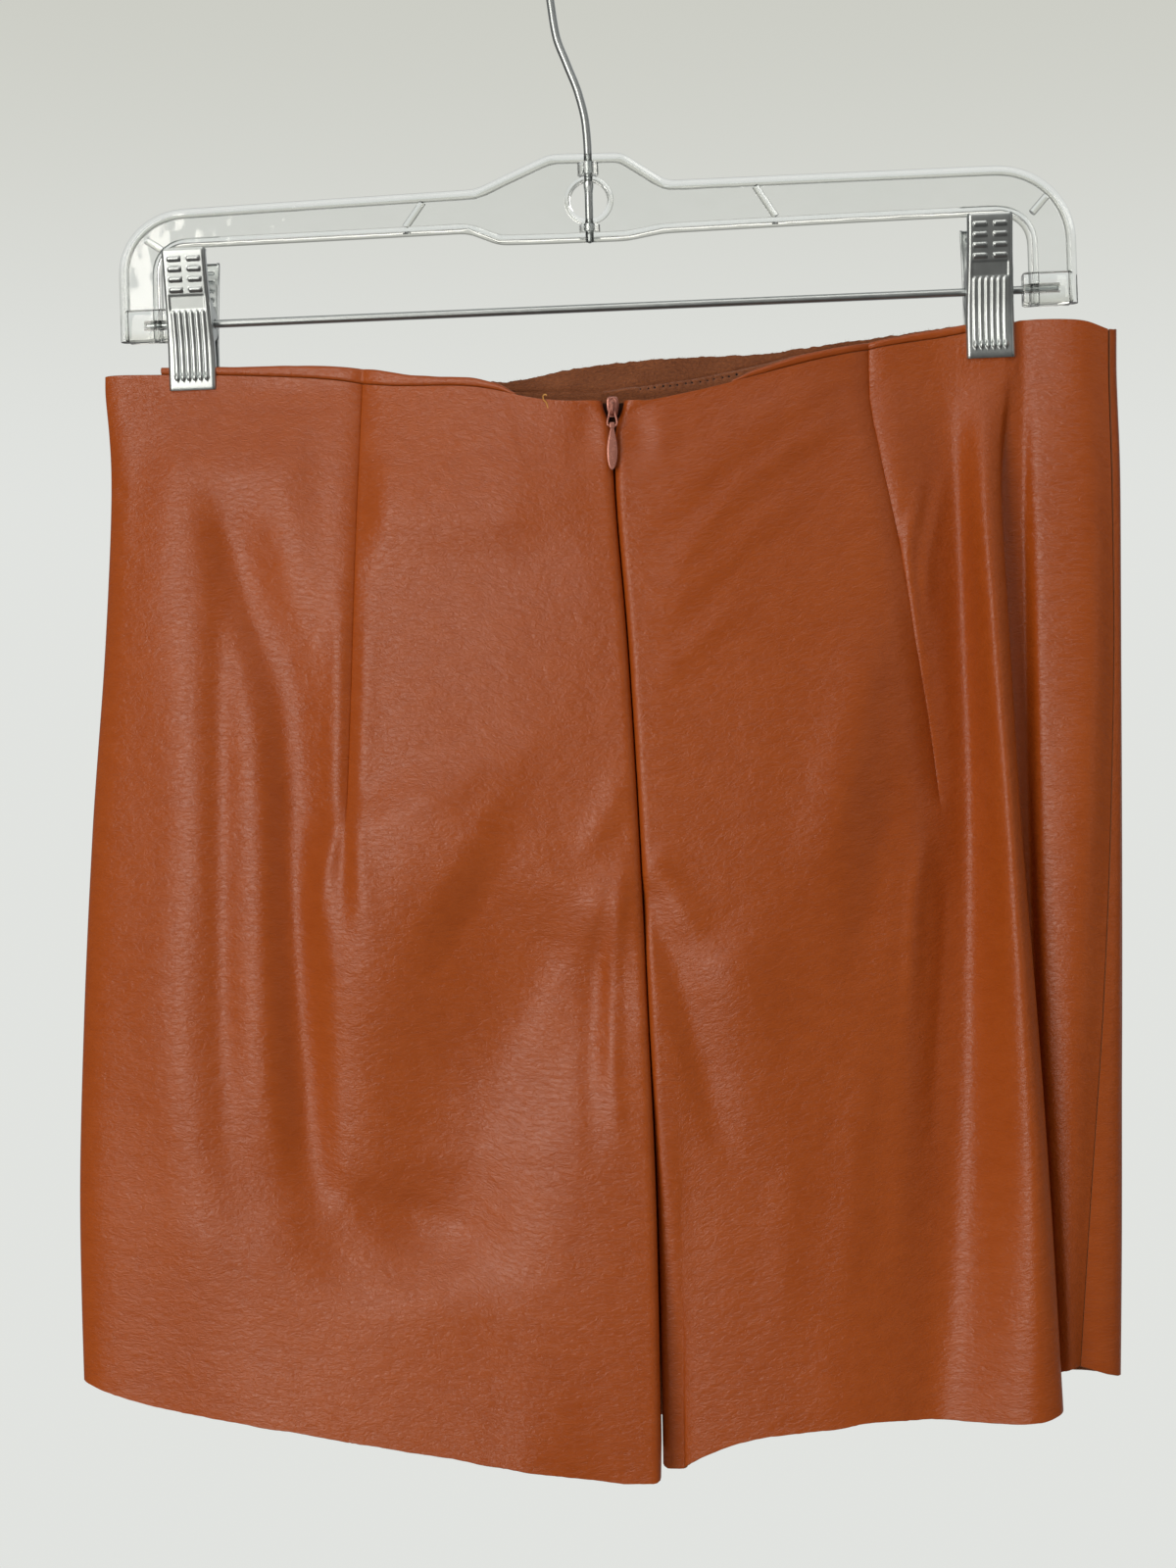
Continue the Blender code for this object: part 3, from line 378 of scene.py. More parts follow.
def crease_height(crease, across, drop):
    """A crease's height at each point.

    It falls off beside its path as a bell curve, or evenly from a point. It rises from nothing and fades
    again over a share of its path at each end. Beyond its widest reach it is nothing.
    """
    path = along(crease.path, 90)
    heading = np.gradient(path, axis=0)
    step = np.hypot(heading[:, 0], heading[:, 1])
    widest = 3.2 * max(crease.outer, crease.inner)
    near = (across > path[:, 0].min() - widest) & (across < path[:, 0].max() + widest)
    near &= (drop > path[:, 1].min() - widest) & (drop < path[:, 1].max() + widest)
    spot = stacked(across[near], drop[near])
    away = spot[:, None, :] - path
    nearest = (away ** 2).sum(axis=-1).argmin(axis=-1)
    chosen = away[np.arange(len(spot)), nearest]
    ahead = heading[nearest] / step[nearest][:, None]
    side = ahead[:, 0] * chosen[:, 1] - ahead[:, 1] * chosen[:, 0]
    onward = (ahead * chosen).sum(axis=-1)
    beyond = np.maximum(np.abs(onward) - step[nearest] / 2, 0.0)
    wide = np.where(side < 0, crease.inner, crease.outer)
    off = np.hypot(side, beyond) / wide
    fall = np.exp(-off) if crease.pointed else np.exp(-off ** 2)
    t = np.clip((nearest + onward / step[nearest]) / (len(path) - 1), 0.0, 1.0)
    head, tail = crease.fades
    fade = (ramp(t, 0.0, head) if head else 1.0) * (ramp(1 - t, 0.0, tail) if tail else 1.0)
    height = np.zeros(across.shape)
    height[near] = crease.height * fall * fade
    return height


def swells(across, drop, size, seed):
    """Soft random swells from -1 to 1: a seeded grid of heights, a size apart, joined by S curves."""
    heights = np.random.default_rng(seed).uniform(-1.0, 1.0, (128, 128))
    first, second = across / size[0] + 60.0, drop / size[1]
    i, j = np.floor(first).astype(int) % 127, np.floor(second).astype(int) % 127
    s, t = ramp(first - np.floor(first), 0.0, 1.0), ramp(second - np.floor(second), 0.0, 1.0)
    upper = heights[i, j] * (1 - s) + heights[i + 1, j] * s
    lower = heights[i, j + 1] * (1 - s) + heights[i + 1, j + 1] * s
    return upper * (1 - t) + lower * t


def creased(grid, places, creases, mask=1.0):
    """The grid with the creases' heights and the cloth's small swells added to its out.

    The hem was cut by hand shears, so it wavers by a few tenths of a millimetre.
    """
    across, drop = grid[..., 0], grid[..., 1]
    height = sum(crease_height(crease, across, drop) for crease in creases)
    small = 0.30 * swells(places, drop, (34.0, 46.0), 3) + 0.10 * swells(places, drop, (13.0, 17.0), 5)
    raised = grid.copy()
    raised[..., 2] += (height + small) * mask
    run = places[:, -1:]
    waver = 0.28 * swells(run, run * 0.0, (9.0, 9.0), 8) + 0.10 * swells(run, run * 0.0, (1.7, 1.7), 9)
    raised[..., 1] += waver * np.linspace(0.0, 1.0, grid.shape[1]) ** 60
    return raised


def in_space(grid):
    """Columns across, drop and out turned into x, y and z."""
    return stacked(grid[..., 0], -grid[..., 2], -grid[..., 1])


def piece(name, points, faces, finishes, slots=None, attribute=None, body="skort_on_hanger"):
    """A mesh in millimetres, smoothly shaded, that rides on a body."""
    mesh = bpy.data.meshes.new(name)
    mesh.from_pydata(np.asarray(points) * MM, [], faces)
    for finish in finishes:
        mesh.materials.append(finish.owner)
    if slots is not None:
        mesh.polygons.foreach_set("material_index", np.asarray(slots, np.int32))
        cloth = mesh.attributes.new("cloth", "FLOAT_VECTOR", "POINT")
        cloth.data.foreach_set("vector", np.asarray(attribute, np.float32).ravel())
    mesh.shade_smooth()
    mesh.set_sharp_from_angle(angle=math.radians(50.0))
    mesh.validate()
    made = bpy.data.objects.new(name, mesh)
    studio.collection.objects.link(made)
    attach(made, body)
    return made


RIM_OUT = 0.22


def shell(name, grid, places, finishes, wall=WALL, space=in_space):
    """A sheet: its middle surface moved half the wall each way along its normals, with a rounded strip
    between the two skins all round. The finishes are those of its two skins and its cut edge."""
    middle = space(grid)
    first, second = np.gradient(middle, axis=(0, 1))
    half = unit(np.cross(second, first)) * wall / 2
    index = np.arange(grid[..., 0].size).reshape(grid.shape[:2])
    border = np.concatenate((index[0], index[1:, -1], index[-1, -2::-1], index[-2:0:-1, 0]))
    away = np.zeros((2, *middle.shape))
    away[0, 0], away[0, -1] = -first[0], first[-1]
    away[1, :, 0], away[1, :, -1] = -second[:, 0], second[:, -1]
    rim = (middle + unit(away).sum(axis=0) * wall * RIM_OUT).reshape(-1, 3)[border]
    points = np.concatenate(((middle + half).reshape(-1, 3), (middle - half).reshape(-1, 3), rim))
    a, b, c, d = index[:-1, :-1], index[:-1, 1:], index[1:, 1:], index[1:, :-1]
    outer = stacked(a, b, c, d).reshape(-1, 4)
    inner = stacked(a, d, c, b).reshape(-1, 4) + index.size
    edge = 2 * index.size + np.arange(len(border))
    after, edge_after = np.roll(border, -1), np.roll(edge, -1)
    strip = np.concatenate((stacked(border, edge, edge_after, after),
                            stacked(edge, border + index.size, after + index.size, edge_after)))
    slots = np.repeat((0, 1, 2), (len(outer), len(inner), len(strip)))
    spot = stacked(places, distance_along(middle), 0.0).reshape(-1, 3)
    attribute = np.concatenate((spot, spot + (0.0, 0.0, 50.0), spot[border] + (0.0, 0.0, 25.0)))
    return piece(name, points, np.concatenate((outer, inner, strip)), finishes, slots, attribute)


leather = Finish("faux leather", IOR=1.5)
leather_cloud = leather.noise(leather.place(0.012, 0.009, 0.012), 3.0, 0.55, 0.4)
leather_mottle = leather.noise(leather.place(0.13, 0.19, 0.1), 3.0, 0.6, 0.3)
leather_crinkle = leather.noise(leather.place(0.36, 0.72, 0.1, turn=0.16), 4.0, 0.62, 1.1)
leather_shade = leather_cloud.between(0.3, 0.7) * 0.5 + leather_mottle.between(0.25, 0.75) * 0.5
leather.tinted(leather_shade, (0.385, 0.071, 0.0062), (0.445, 0.090, 0.011))
leather.varies("Roughness", 0.2 + 0.16 * leather_crinkle + 0.08 * leather_mottle)
leather.bumped(leather_crinkle * 0.9 + leather_mottle * 1.1, 0.00034)

suede = Finish("suede reverse", Roughness=0.95, IOR=1.3, Sheen_Weight=0.25, Sheen_Roughness=0.5)
suede_nap = suede.noise(suede.place(0.75, 1.5, 0.1), 5.0, 0.75, 0.8)
suede_cloud = suede.noise(suede.place(0.07, 0.12, 0.1))
suede_shade = (suede_nap * 0.7 + suede_cloud * 0.3).between(0.25, 0.75)
suede.tinted(suede_shade, (0.205, 0.057, 0.018), (0.480, 0.160, 0.058))
suede.bumped(suede_nap, 0.0009)

cut_edge = Finish("cut edge of the cloth", Roughness=0.8)
cut_fibres = cut_edge.noise(cut_edge.place(2.6, 2.6, 2.6), 2.0, 0.6)
cut_edge.tinted(cut_fibres, (0.30, 0.085, 0.028), (0.46, 0.16, 0.06))
cut_edge.bumped(cut_fibres, 0.0004)

CLOTH_FINISHES = (leather, suede, cut_edge)


def cloth(name, node, grid, places, held_by, finishes=CLOTH_FINISHES, slot="faux_leather", wall=WALL):
    """A sheet of cloth in place of a plain solid. held_by, the pieces it hangs from, is not used.
    """
    made = shell(name, grid, places, finishes, wall)
    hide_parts(node)
    middle = in_space(grid) * MM
    return made


BACK_JAWS = ("clip_left_jaw_back", "clip_right_jaw_back")
FRONT_JAWS = ("clip_left_jaw_front", "clip_right_jaw_front")


def centre(drop):
    """How far across the centre-back seam lies."""
    return smooth(LEVELS, (9.6, 10.1, 15.0, 19.4, 22.8, 25.8, 27.6), drop)


def beside_centre(side, offset):
    """A line that keeps an offset from the centre seam, and parts further at the zip's mouth."""
    def across(drop):
        mouth = ZIP_MOUTH / 2 * ramp(drop, ZIP_TOP + ZIP_MOUTH_DEPTH, ZIP_TOP)
        return centre(drop) + side * (offset + SEAM_GAP * 0.7 + WALL / 2 + mouth)
    return across


# How far out the cloth lies beside the centre seam at LEVELS, by side: the backs, then the shorts fronts.
BACK_OUT = {-1: (20.0, 23.0, 26.0, 27.3, 26.8, 26.2, 26.0), 1: (20.0, 23.0, 26.0, 27.3, 26.0, 19.5, 12.5)}
FRONT_OUT = {-1: (-6.0, -8.6, -10.0, -10.4, -9.0, -2.0, 4.0), 1: (-6.0, -8.6, -10.0, -10.4, -9.4, -8.0, -7.0)}
INSEAM_OUT = {-1: 14.0, 1: 3.0}
CROTCH_OUT = 8.0
INSEAM_HALF_GAP = 0.35
CENTRE_FLAT = 8.0
CENTRE_ROLL = 1.8
BACK_HEM = {-1: 578.2, 1: 576.2}
FRONT_HEM = {-1: 563.5, 1: 562.0}


def inner_end(side, face):
    """How far out the panel's last line lies: a turned-in allowance above the crotch, the inseam below it.

    face is 1 on the back, -1 on the front.
    """
    table = BACK_OUT if face > 0 else FRONT_OUT
    turned_in = ALLOWANCE if face > 0 else -FRONT_ALLOWANCE

    def out(drop):
        allowance = smooth(LEVELS, table[side], drop) - turned_in
        inseam = CROTCH_OUT + (INSEAM_OUT[side] - CROTCH_OUT) * ramp(drop, CROTCH, LEVELS[-1])
        inseam = inseam + face * INSEAM_HALF_GAP
        return allowance + (inseam - allowance) * ramp(drop, CROTCH_TOP, CROTCH)
    return out


def centre_lines(side, face, waist):
    """The lines of one leg by the centre seam: its surface, the turn inwards and the inner strip's end."""
    hem, table = (BACK_HEM[side], BACK_OUT[side]) if face > 0 else (FRONT_HEM[side], FRONT_OUT[side])

    def out(drop):
        return smooth(LEVELS, table, drop)

    def turned(drop):
        return out(drop) - face * CENTRE_ROLL

    return (
        Line("centre flat", 2.6, waist, hem, beside_centre(side, CENTRE_FLAT), out),
        Line("centre roll", 0.7, waist, hem, beside_centre(side, CENTRE_ROLL), out),
        Line("centre turn", 0.7, waist, hem + (INSEAM_HEM - hem) / 6, beside_centre(side, 0.0), turned),
        Line("inner end", 1.5, waist, INSEAM_HEM, beside_centre(side, 0.0), inner_end(side, face)),
    )


BACK_LEFT = (
    Line("side seam", 1, 174, 549,
         (-174.5, -172, -174.3, -179, -182.3, -184, -182), (-2.7, -4.2, -5, -5.5, -5.5, -5.5, -5.5)),
    Line("left edge", 1.6, 173.3, 549.5, (-181.8, -179.2, -181.4, -186.3, -189.6, -191.3, -188.9), 0),
    Line("side roll", 2.6, 173.2, 552.5,
         (-174.5, -171.5, -173.5, -178.3, -181.7, -183.5, -180.5), (2.8, 5, 6.3, 6.8, 6.8, 6.8, 6)),
    Line("side ridge", 5, 173.3, 557.7,
         (-155, -154, -155, -156, -156, -156, -153.5), (3, 7.5, 10.5, 12.5, 13.5, 13.5, 11.5)),
    Line("hip side", 9, 174, 560.3,
         (-127, -126, -126, -126.5, -127, -127, -126), (3.4, 9.5, 14, 17.5, 19, 19, 16.5)),
    Line("hip", 10, 176, 563.8, (-97, -97, -97, -97, -97, -97, -96.8), (6.5, 13, 17.5, 22, 23, 22, 19)),
    Line("dart side", 10, 179.8, 567.1,
         (-71, -71, -71, -71, -71, -71, -70.9), (11, 16, 21, 26, 26.5, 24.5, 21)),
    Line("mid back", 10, 180.2, 571.1,
         (-44, -44, -43.5, -43, -42.5, -42, -41.7), (15.5, 19, 23, 27, 27, 25, 22.5)),
    Line("inner back", 8, 186, 574.6,
         (-18, -18, -17.5, -17, -17, -17, -16.9), (19, 21.5, 25, 27.5, 27.5, 26, 24.5)),
)
LEFT_DART = ((-83.7, 178), (-84.2, 208), (-85.4, 257), (-86.4, 311), (-87.6, 346))
LEFT_CREASES = (
    Crease("left wall of the bowl", -5.2, 9, 14,
         ((-142, 205), (-126, 254), (-112, 300), (-107, 362), (-104, 420), (-101, 455), (-96, 482),
          (-91, 504)),
         (0.14, 0.25)),
    Crease("right wall of the bowl", -8.6, 26, 70,
         ((-60, 516), (-54, 492), (-45, 466), (-35, 443), (-19, 408), (-7, 386), (5, 366)), (0.2, 0.2)),
    Crease("floor of the bowl", -3.8, 11, 18,
         ((-112, 482), (-96, 497), (-76, 504), (-58, 500), (-40, 486)), (0.4, 0.4)),
    Crease("fall into the bowl", 5.4, 12, 50,
         ((-95, 330), (-91, 380), (-89, 430), (-86, 468), (-79, 500)), (0.3, 0.22)),
    Crease("hollow inside the bowl", -4.6, 36, 30,
         ((-56, 392), (-61, 440), (-69, 478), (-75, 500)), (0.4, 0.2)),
    Crease("fullness below the left clip", 2.6, 40, 16, ((-170, 212), (-134, 214), (-96, 212)), (0.25, 0.25)),
    Crease("fullness of the seat", 4.2, 30, 34, ((-74, 322), (-58, 350), (-34, 366))),
    Crease("flare at the hem", 5, 42, 42, ((-160, 584), (-100, 587), (-30, 592), (10, 592)), (0.3, 0.2)),
    Crease("first side ridge", 3.8, 18, 13,
         ((-156, 205), (-150, 290), (-148, 350), (-151, 410), (-145, 475), (-141, 540))),
    Crease("dip between the ridges", -1.3, 5, 6, ((-137, 212), (-135, 290), (-134, 390), (-132, 480))),
    Crease("second side ridge", 2.6, 13, 9,
         ((-121, 250), (-118, 320), (-119, 380), (-116, 450), (-110, 500))),
    Crease("dart", -1.1, 1.2, 1.2, LEFT_DART, (0, 0.06), True),
    Crease("shoulders of the dart", -1, 5, 5, LEFT_DART, (0, 0.1)),
    Crease("ridge left of the dart", 1, 4.2, 3.2,
         ((-90, 240), (-90.5, 300), (-91.5, 345), (-97, 368), (-93, 398))),
    Crease("ridge right of the dart", 0.8, 3.2, 4.2,
         ((-80, 250), (-81, 300), (-82.5, 345), (-79.5, 370), (-77, 392))),
    Crease("valley under the dart's end", -1.4, 4, 4, ((-87.5, 338), (-88, 362), (-86, 396)), (0.2, 0.6)),
    Crease("swell under the waist", 3.4, 24, 13, ((2, 214), (-20, 225), (-46, 229), (-84, 228)), (0.4, 0.15)),
    Crease("dimple beside the zip", -1.3, 7, 6, ((2, 188), (0, 200), (3, 214)), (0.1, 0.5)),
    Crease("pull left of the zip's end", 1.3, 7, 10,
         ((19, 345), (10, 362), (0, 380), (-10, 402), (-22, 430), (-34, 462)), (0.2, 0.4)),
    Crease("upper pull left of the zip", 0.9, 5, 5, ((16, 318), (7, 338), (-5, 358)), (0.3, 0.4)),
    Crease("fold edge beside the seam", 1.1, 3, 3,
         ((15, 350), (12, 372), (10, 392), (10, 424), (14, 470)), (0.2, 0.4)),
    Crease("hollow beside the fold edge", -0.9, 4, 4, ((9, 366), (3, 400), (2, 440), (4, 480)), (0.2, 0.5)),
    Crease("pucker in the side", -0.7, 1.6, 2.2, ((-177, 214), (-174, 217.5), (-171, 218.5)), (0.2, 0.5)),
)
left_lines = BACK_LEFT + centre_lines(-1, 1, ZIP_TOP)
left_grid, left_places, _ = draped(left_lines, 1.25, 230, LEFT_DART)
left_grid = creased(left_grid, left_places, LEFT_CREASES)
left_back = cloth("left_back_cloth", "back_left", left_grid, left_places, BACK_JAWS)


# The right back, cut and made as the left one. Near the wearer's side the cloth falls in one deep fold,
# whose crest stands forward over a dark valley, and a strip beyond it runs to the side seam.

BACK_RIGHT = (
    Line("inner back", 8, 184.6, 574.9, (35, 35, 36, 38, 38, 37, 36.5), (18.7, 22, 25.5, 27, 25.5, 20, 14.5)),
    Line("mid back", 10, 178, 563.7, (60, 60, 60, 60, 60, 59.5, 59), (15.5, 19, 24, 26.5, 25, 21, 18)),
    Line("hip", 9, 170.5, 559.4, (87, 87, 88, 89, 89, 89, 88), (10.5, 15, 21, 23.5, 22.5, 20, 20)),
    Line("dart side", 7, 165.3, 556.9,
         (111, 112, 113, 114, 113, 111, 108), (5.5, 12, 16.5, 19, 18.5, 17, 16.5)),
    Line("dip", 4, 162, 556.9, (131, 134, 137, 139, 138, 135, 127), (2.6, 3.8, 4.2, 5.2, 6.4, 8.6, 12.6)),
    Line("pleat crest", 1.8, 159.3, 554.8,
         (145.5, 144.5, 147.5, 152.5, 157, 161, 162.5), (3, 14, 20.5, 23.5, 25, 25.5, 25)),
    Line("pleat edge", 1.2, 158.2, 551.3,
         (152, 150, 152.8, 156.8, 162.5, 167.5, 173), (3, 10.5, 15, 17, 18, 18.3, 19)),
    Line("under pleat", 1.2, 156.6, 545,
         (156.5, 150.5, 150.5, 153, 157.5, 162, 169.5), (2.2, 3.6, 5, 6, 7, 8, 9.5)),
    Line("pleat root", 1, 155.8, 541.6,
         (160, 159.5, 160.6, 162, 164.4, 168.6, 173.4), (1.2, 1.2, 1.2, 1.2, 1.6, 3.4, 5)),
    Line("strip edge", 1, 155.8, 540.6,
         (164.5, 164.5, 165.2, 165.8, 167, 170.8, 174.8), (2.6, 4.4, 6.4, 7.6, 7.6, 7.2, 6.6)),
    Line("side ridge", 2.6, 156.6, 539.6,
         (180, 182, 182.8, 180.3, 177.5, 176.3, 175.9), (5.5, 6.5, 8.5, 10.5, 10.5, 9.5, 8)),
    Line("side seam", 1, 159.6, 538.4,
         (190.6, 191.6, 192.2, 190.8, 187.8, 183.2, 177.6), (2.9, 3, 3.2, 4.6, 6, 6.2, 4.2)),
)
RIGHT_DART = ((102.9, 164), (103.2, 182), (106.9, 205), (113.7, 238), (120.3, 278), (124.8, 305), (129, 336))
RIGHT_CREASES = (
    Crease("dart", -1.3, 1.3, 1.3, RIGHT_DART, (0, 0.05), True),
    Crease("shoulders of the dart", -1.3, 5, 5, RIGHT_DART, (0, 0.1)),
    Crease("drag line from the right clip", -0.6, 6, 7,
         ((19, 258), (30, 238), (50, 214), (75, 195), (101, 180))),
    Crease("upper drag ridge", 1.2, 6, 12,
         ((22, 238), (38, 218), (58, 200), (82, 184), (98, 174)), (0.3, 0.2)),
    Crease("middle drag ridge", 1.5, 6, 13,
         ((22, 262), (40, 236), (62, 212), (84, 196), (100, 188)), (0.3, 0.2)),
    Crease("lower drag ridge", 0.9, 5, 9, ((24, 274), (44, 250), (66, 230), (88, 214)), (0.3, 0.4)),
    Crease("lowest drag ridge", 0.6, 4, 6, ((24, 292), (44, 272), (64, 256)), (0.3, 0.4)),
    Crease("dimple beside the zip", -1.4, 6, 7, ((16, 188), (19, 200), (17, 216)), (0.1, 0.5)),
    Crease("swell beside the dimple", 0.6, 4, 5, ((24, 190), (27, 200), (22, 215)), (0.3, 0.4)),
    Crease("hollow left of the dart's end", -2, 8, 9,
         ((117, 306), (109, 345), (101, 382), (96, 416)), (0.3, 0.4)),
    Crease("swell left of the dart", 2.6, 13, 9, ((106, 256), (99, 296), (91, 335), (82, 372))),
    Crease("ridge right of the dart", 1.1, 2.6, 2.4,
         ((125, 206), (120, 224), (117, 242), (119, 262), (124, 286))),
    Crease("second ridge right of the dart", 0.9, 2.4, 2.8,
         ((132, 206), (127, 230), (123.5, 250), (124.5, 272))),
    Crease("ridge under the dart's end", 1.3, 3, 4,
         ((124, 340), (119, 366), (117, 400), (114, 432)), (0.2, 0.5)),
    Crease("hollow beyond the dart's end", -1.2, 4, 6,
         ((130, 346), (131, 372), (128, 420), (126, 470)), (0.2, 0.4)),
    Crease("fullness right of the zip's end", 2.8, 15, 16, ((44, 376), (58, 402), (64, 430)), (0.35, 0.6)),
    Crease("lobe right of the zip's end", 1.2, 6, 6, ((23, 350), (33, 370), (44, 388)), (0.1, 0.4)),
    Crease("trough under the lobe", -2, 6, 8,
         ((21, 357), (25, 376), (32, 391), (39, 415), (49, 453), (57, 476)), (0.1, 0.4)),
    Crease("ridge beside the seam", 1, 4, 5, ((27, 440), (31, 480), (35, 530))),
    Crease("faint fall, first", 0.7, 6, 6, ((118, 400), (116, 450), (114, 510))),
    Crease("faint fall, second", 0.7, 7, 6, ((102, 410), (98, 460), (94, 520))),
    Crease("faint fall, third", 0.6, 7, 7, ((76, 440), (72, 490), (70, 540))),
)
right_inner = centre_lines(1, 1, ZIP_TOP)[::-1]
right_grid, right_places, right_knots = draped(right_inner + BACK_RIGHT, 1.2, 220, RIGHT_DART)
# The creases end at the dip beside the deep fold, whose own form stays clean.
dip = right_knots[len(right_inner) + 4]
right_mask = ramp(right_places, dip + 4.0, dip - 12.0)
right_grid = creased(right_grid, right_places, RIGHT_CREASES, right_mask)
right_back = cloth("right_back_cloth", "back_right", right_grid, right_places, BACK_JAWS)


# The front skirt, a plain panel over the shorts fronts, sewn in with the waist and both side seams. It wraps
# round the wearer's right edge to the seam that shows on the back, and hangs in soft uneven folds. On the
# front a crease that stands outward has a negative height.

FRONT_SKIRT = (
    Line("right seam", 1, 159.6, 538.6,
         (191.1, 192.1, 192.7, 191.3, 188.3, 183.7, 178.2), (2.8, 2.9, 3, 4.5, 6, 6.2, 4.1)),
    Line("right strip", 1, 159.6, 541.4,
         (192.9, 194.3, 194.5, 194.3, 193.2, 191.4, 188.5), (1.9, 2, 2.2, 3.2, 4.8, 5, 3.7)),
    Line("right edge", 1.4, 159, 543.3, (193.7, 195.1, 195.4, 195.8, 196.1, 196.2, 195.4), 0),
    Line("right roll", 2.4, 161, 543.3,
         (187.5, 188.5, 188.8, 189, 189.5, 189.5, 189), (-2.9, -4, -4.8, -5.4, -5.4, -5.4, -5)),
    Line("right fold", 6, 162, 543.8,
         (165, 165, 166, 167, 168, 168, 168), (-3, -6.4, -8.6, -10.5, -11, -11, -10.5)),
    Line("right dip", 8, 163, 547,
         (132, 132, 132, 133, 134, 134, 134), (-3, -7.4, -9.8, -11.2, -11.2, -11, -11.5)),
    Line("right front", 9, 164.2, 552, 97, (-4.3, -9.4, -13.4, -16, -16, -15, -13)),
    Line("inner dip", 9, 170.6, 558, 62, (-6.4, -11, -14, -15, -14.5, -14.2, -14.2)),
    Line("mid front", 9, 177.8, 564, 26, (-7.6, -12.2, -16, -18.4, -18.4, -17, -14.6)),
    Line("mid dip", 9, 180.2, 567, -10, (-7.8, -12, -15, -16, -15.6, -15.2, -16)),
    Line("left front", 9, 179, 566, -46, (-7, -12, -16, -18, -18, -16.6, -14.2)),
    Line("left dip", 9, 177, 562.5, -81, (-5.4, -10.4, -13.4, -14.4, -14.2, -14.2, -14.8)),
    Line("left fold", 7, 175.4, 558, -116, (-3.4, -8.4, -12.4, -15, -15.4, -15, -13.2)),
    Line("left roll", 4, 174.4, 552.5,
         (-149, -149, -150, -152, -153, -153, -152), (-3, -6.4, -9.2, -10.6, -11, -11, -11)),
    Line("left seam", 1, 174.2, 547.5,
         (-173.9, -171.4, -173.7, -178.4, -181.7, -183.4, -181.4),
         (-2.8, -4.3, -5.1, -5.6, -5.6, -5.6, -5.6)),
)
SKIRT_CREASES = (
    Crease("fall from the left clip", -1.8, 7, 10,
         ((-132, 214), (-128, 290), (-122, 380), (-116, 480), (-112, 545))),
    Crease("hollow beside it", 0.9, 6, 8, ((-104, 230), (-102, 310), (-98, 400), (-96, 470))),
    Crease("fall left of the middle", -1.4, 8, 8, ((-66, 250), (-62, 330), (-58, 430), (-60, 530))),
    Crease("fall right of the middle", -1.7, 9, 7, ((14, 236), (10, 320), (8, 420), (12, 520))),
    Crease("drag from the right clip", -1.1, 6, 7, ((128, 186), (104, 214), (76, 246), (50, 290))),
    Crease("fall from the right clip", -1.6, 7, 9, ((126, 240), (122, 330), (118, 430), (120, 510))),
    Crease("sag across the front", -1, 12, 14, ((-90, 300), (-40, 322), (10, 326), (60, 312)), (0.4, 0.4)),
)


def room_behind(across, drop):
    """How freely the front layers hang: not at all at the waist and the sides, and wholly between them."""
    return ramp(drop, 190.0, 290.0) * ramp(175.0 - np.abs(across - 5.0), 0.0, 60.0)


skirt_grid, skirt_places, _ = draped(FRONT_SKIRT, 2.5, 160)
skirt_room = room_behind(skirt_grid[..., 0], skirt_grid[..., 1])
skirt_grid = creased(skirt_grid, skirt_places, SKIRT_CREASES, skirt_room)
cloth("skirt_front_cloth", "front_skirt", skirt_grid, skirt_places, FRONT_JAWS)


# The two shorts fronts, plain and hidden behind the skirt. Each lies one ply inside it at the waist and the
# sides, hangs a little looser between them, and turns in to the centre seam and down the inside of its leg.

SHORTS_LOOSE = 3.2


def skirt_out(across, drop):
    """How far out the skirt's middle surface lies between its two side rolls."""
    lines = FRONT_SKIRT[-2:2:-1]
    at_waist = np.array([np.ravel(line.across)[0] for line in lines], float)
    outs = np.stack([smooth(LEVELS, line.out, drop) for line in lines], -1)
    return (smooth(at_waist, np.eye(len(lines)), across) * outs).sum(axis=-1)


def under_skirt(across, drop):
    """How far out a shorts front lies."""
    return skirt_out(across, drop) + PLY + SHORTS_LOOSE * room_behind(across, drop)


def shorts_line(name, reach, across, waist, hem):
    """A shorts line that runs straight down behind the skirt."""
    return Line(name, reach, waist, hem, across, lambda drop: under_skirt(across, drop))


def inside(line, shift_across, shift_out, hem):
    """A skirt line moved inwards, for the shorts front that follows it."""
    return line._replace(hem=hem, across=np.add(line.across, shift_across), out=np.add(line.out, shift_out))


SHORTS_LEFT = (
    inside(FRONT_SKIRT[-1], 1.0, PLY + 0.25, 544.0),
    shorts_line("left roll", 4.0, -149.0, 174.6, 548.5),
    shorts_line("left fold", 7.0, -116.0, 175.6, 554.0),
    shorts_line("left dip", 8.0, -81.0, 177.2, 558.5),
    shorts_line("left front", 8.0, -46.0, 179.2, 562.0),
    shorts_line("mid dip", 6.0, -16.0, 180.4, 563.0),
) + centre_lines(-1, -1, 180.4)
SHORTS_RIGHT = centre_lines(1, -1, 180.0)[::-1] + (
    shorts_line("mid front", 6.0, 42.0, 175.6, 559.5),
    shorts_line("inner dip", 8.0, 66.0, 171.0, 554.5),
    shorts_line("right front", 8.0, 97.0, 165.2, 549.0),
    shorts_line("right dip", 6.0, 132.0, 163.4, 544.5),
    shorts_line("right fold", 4.0, 165.0, 162.4, 541.0),
    inside(FRONT_SKIRT[3], -0.4, PLY, 539.0),
    inside(FRONT_SKIRT[2], -2.0, 0.0, 538.5),
    inside(FRONT_SKIRT[1], -1.5, -1.25, 538.0),
    inside(FRONT_SKIRT[0], 0.2, -PLY, 536.0),
)
REVERSE_FIRST = (suede, leather, cut_edge)
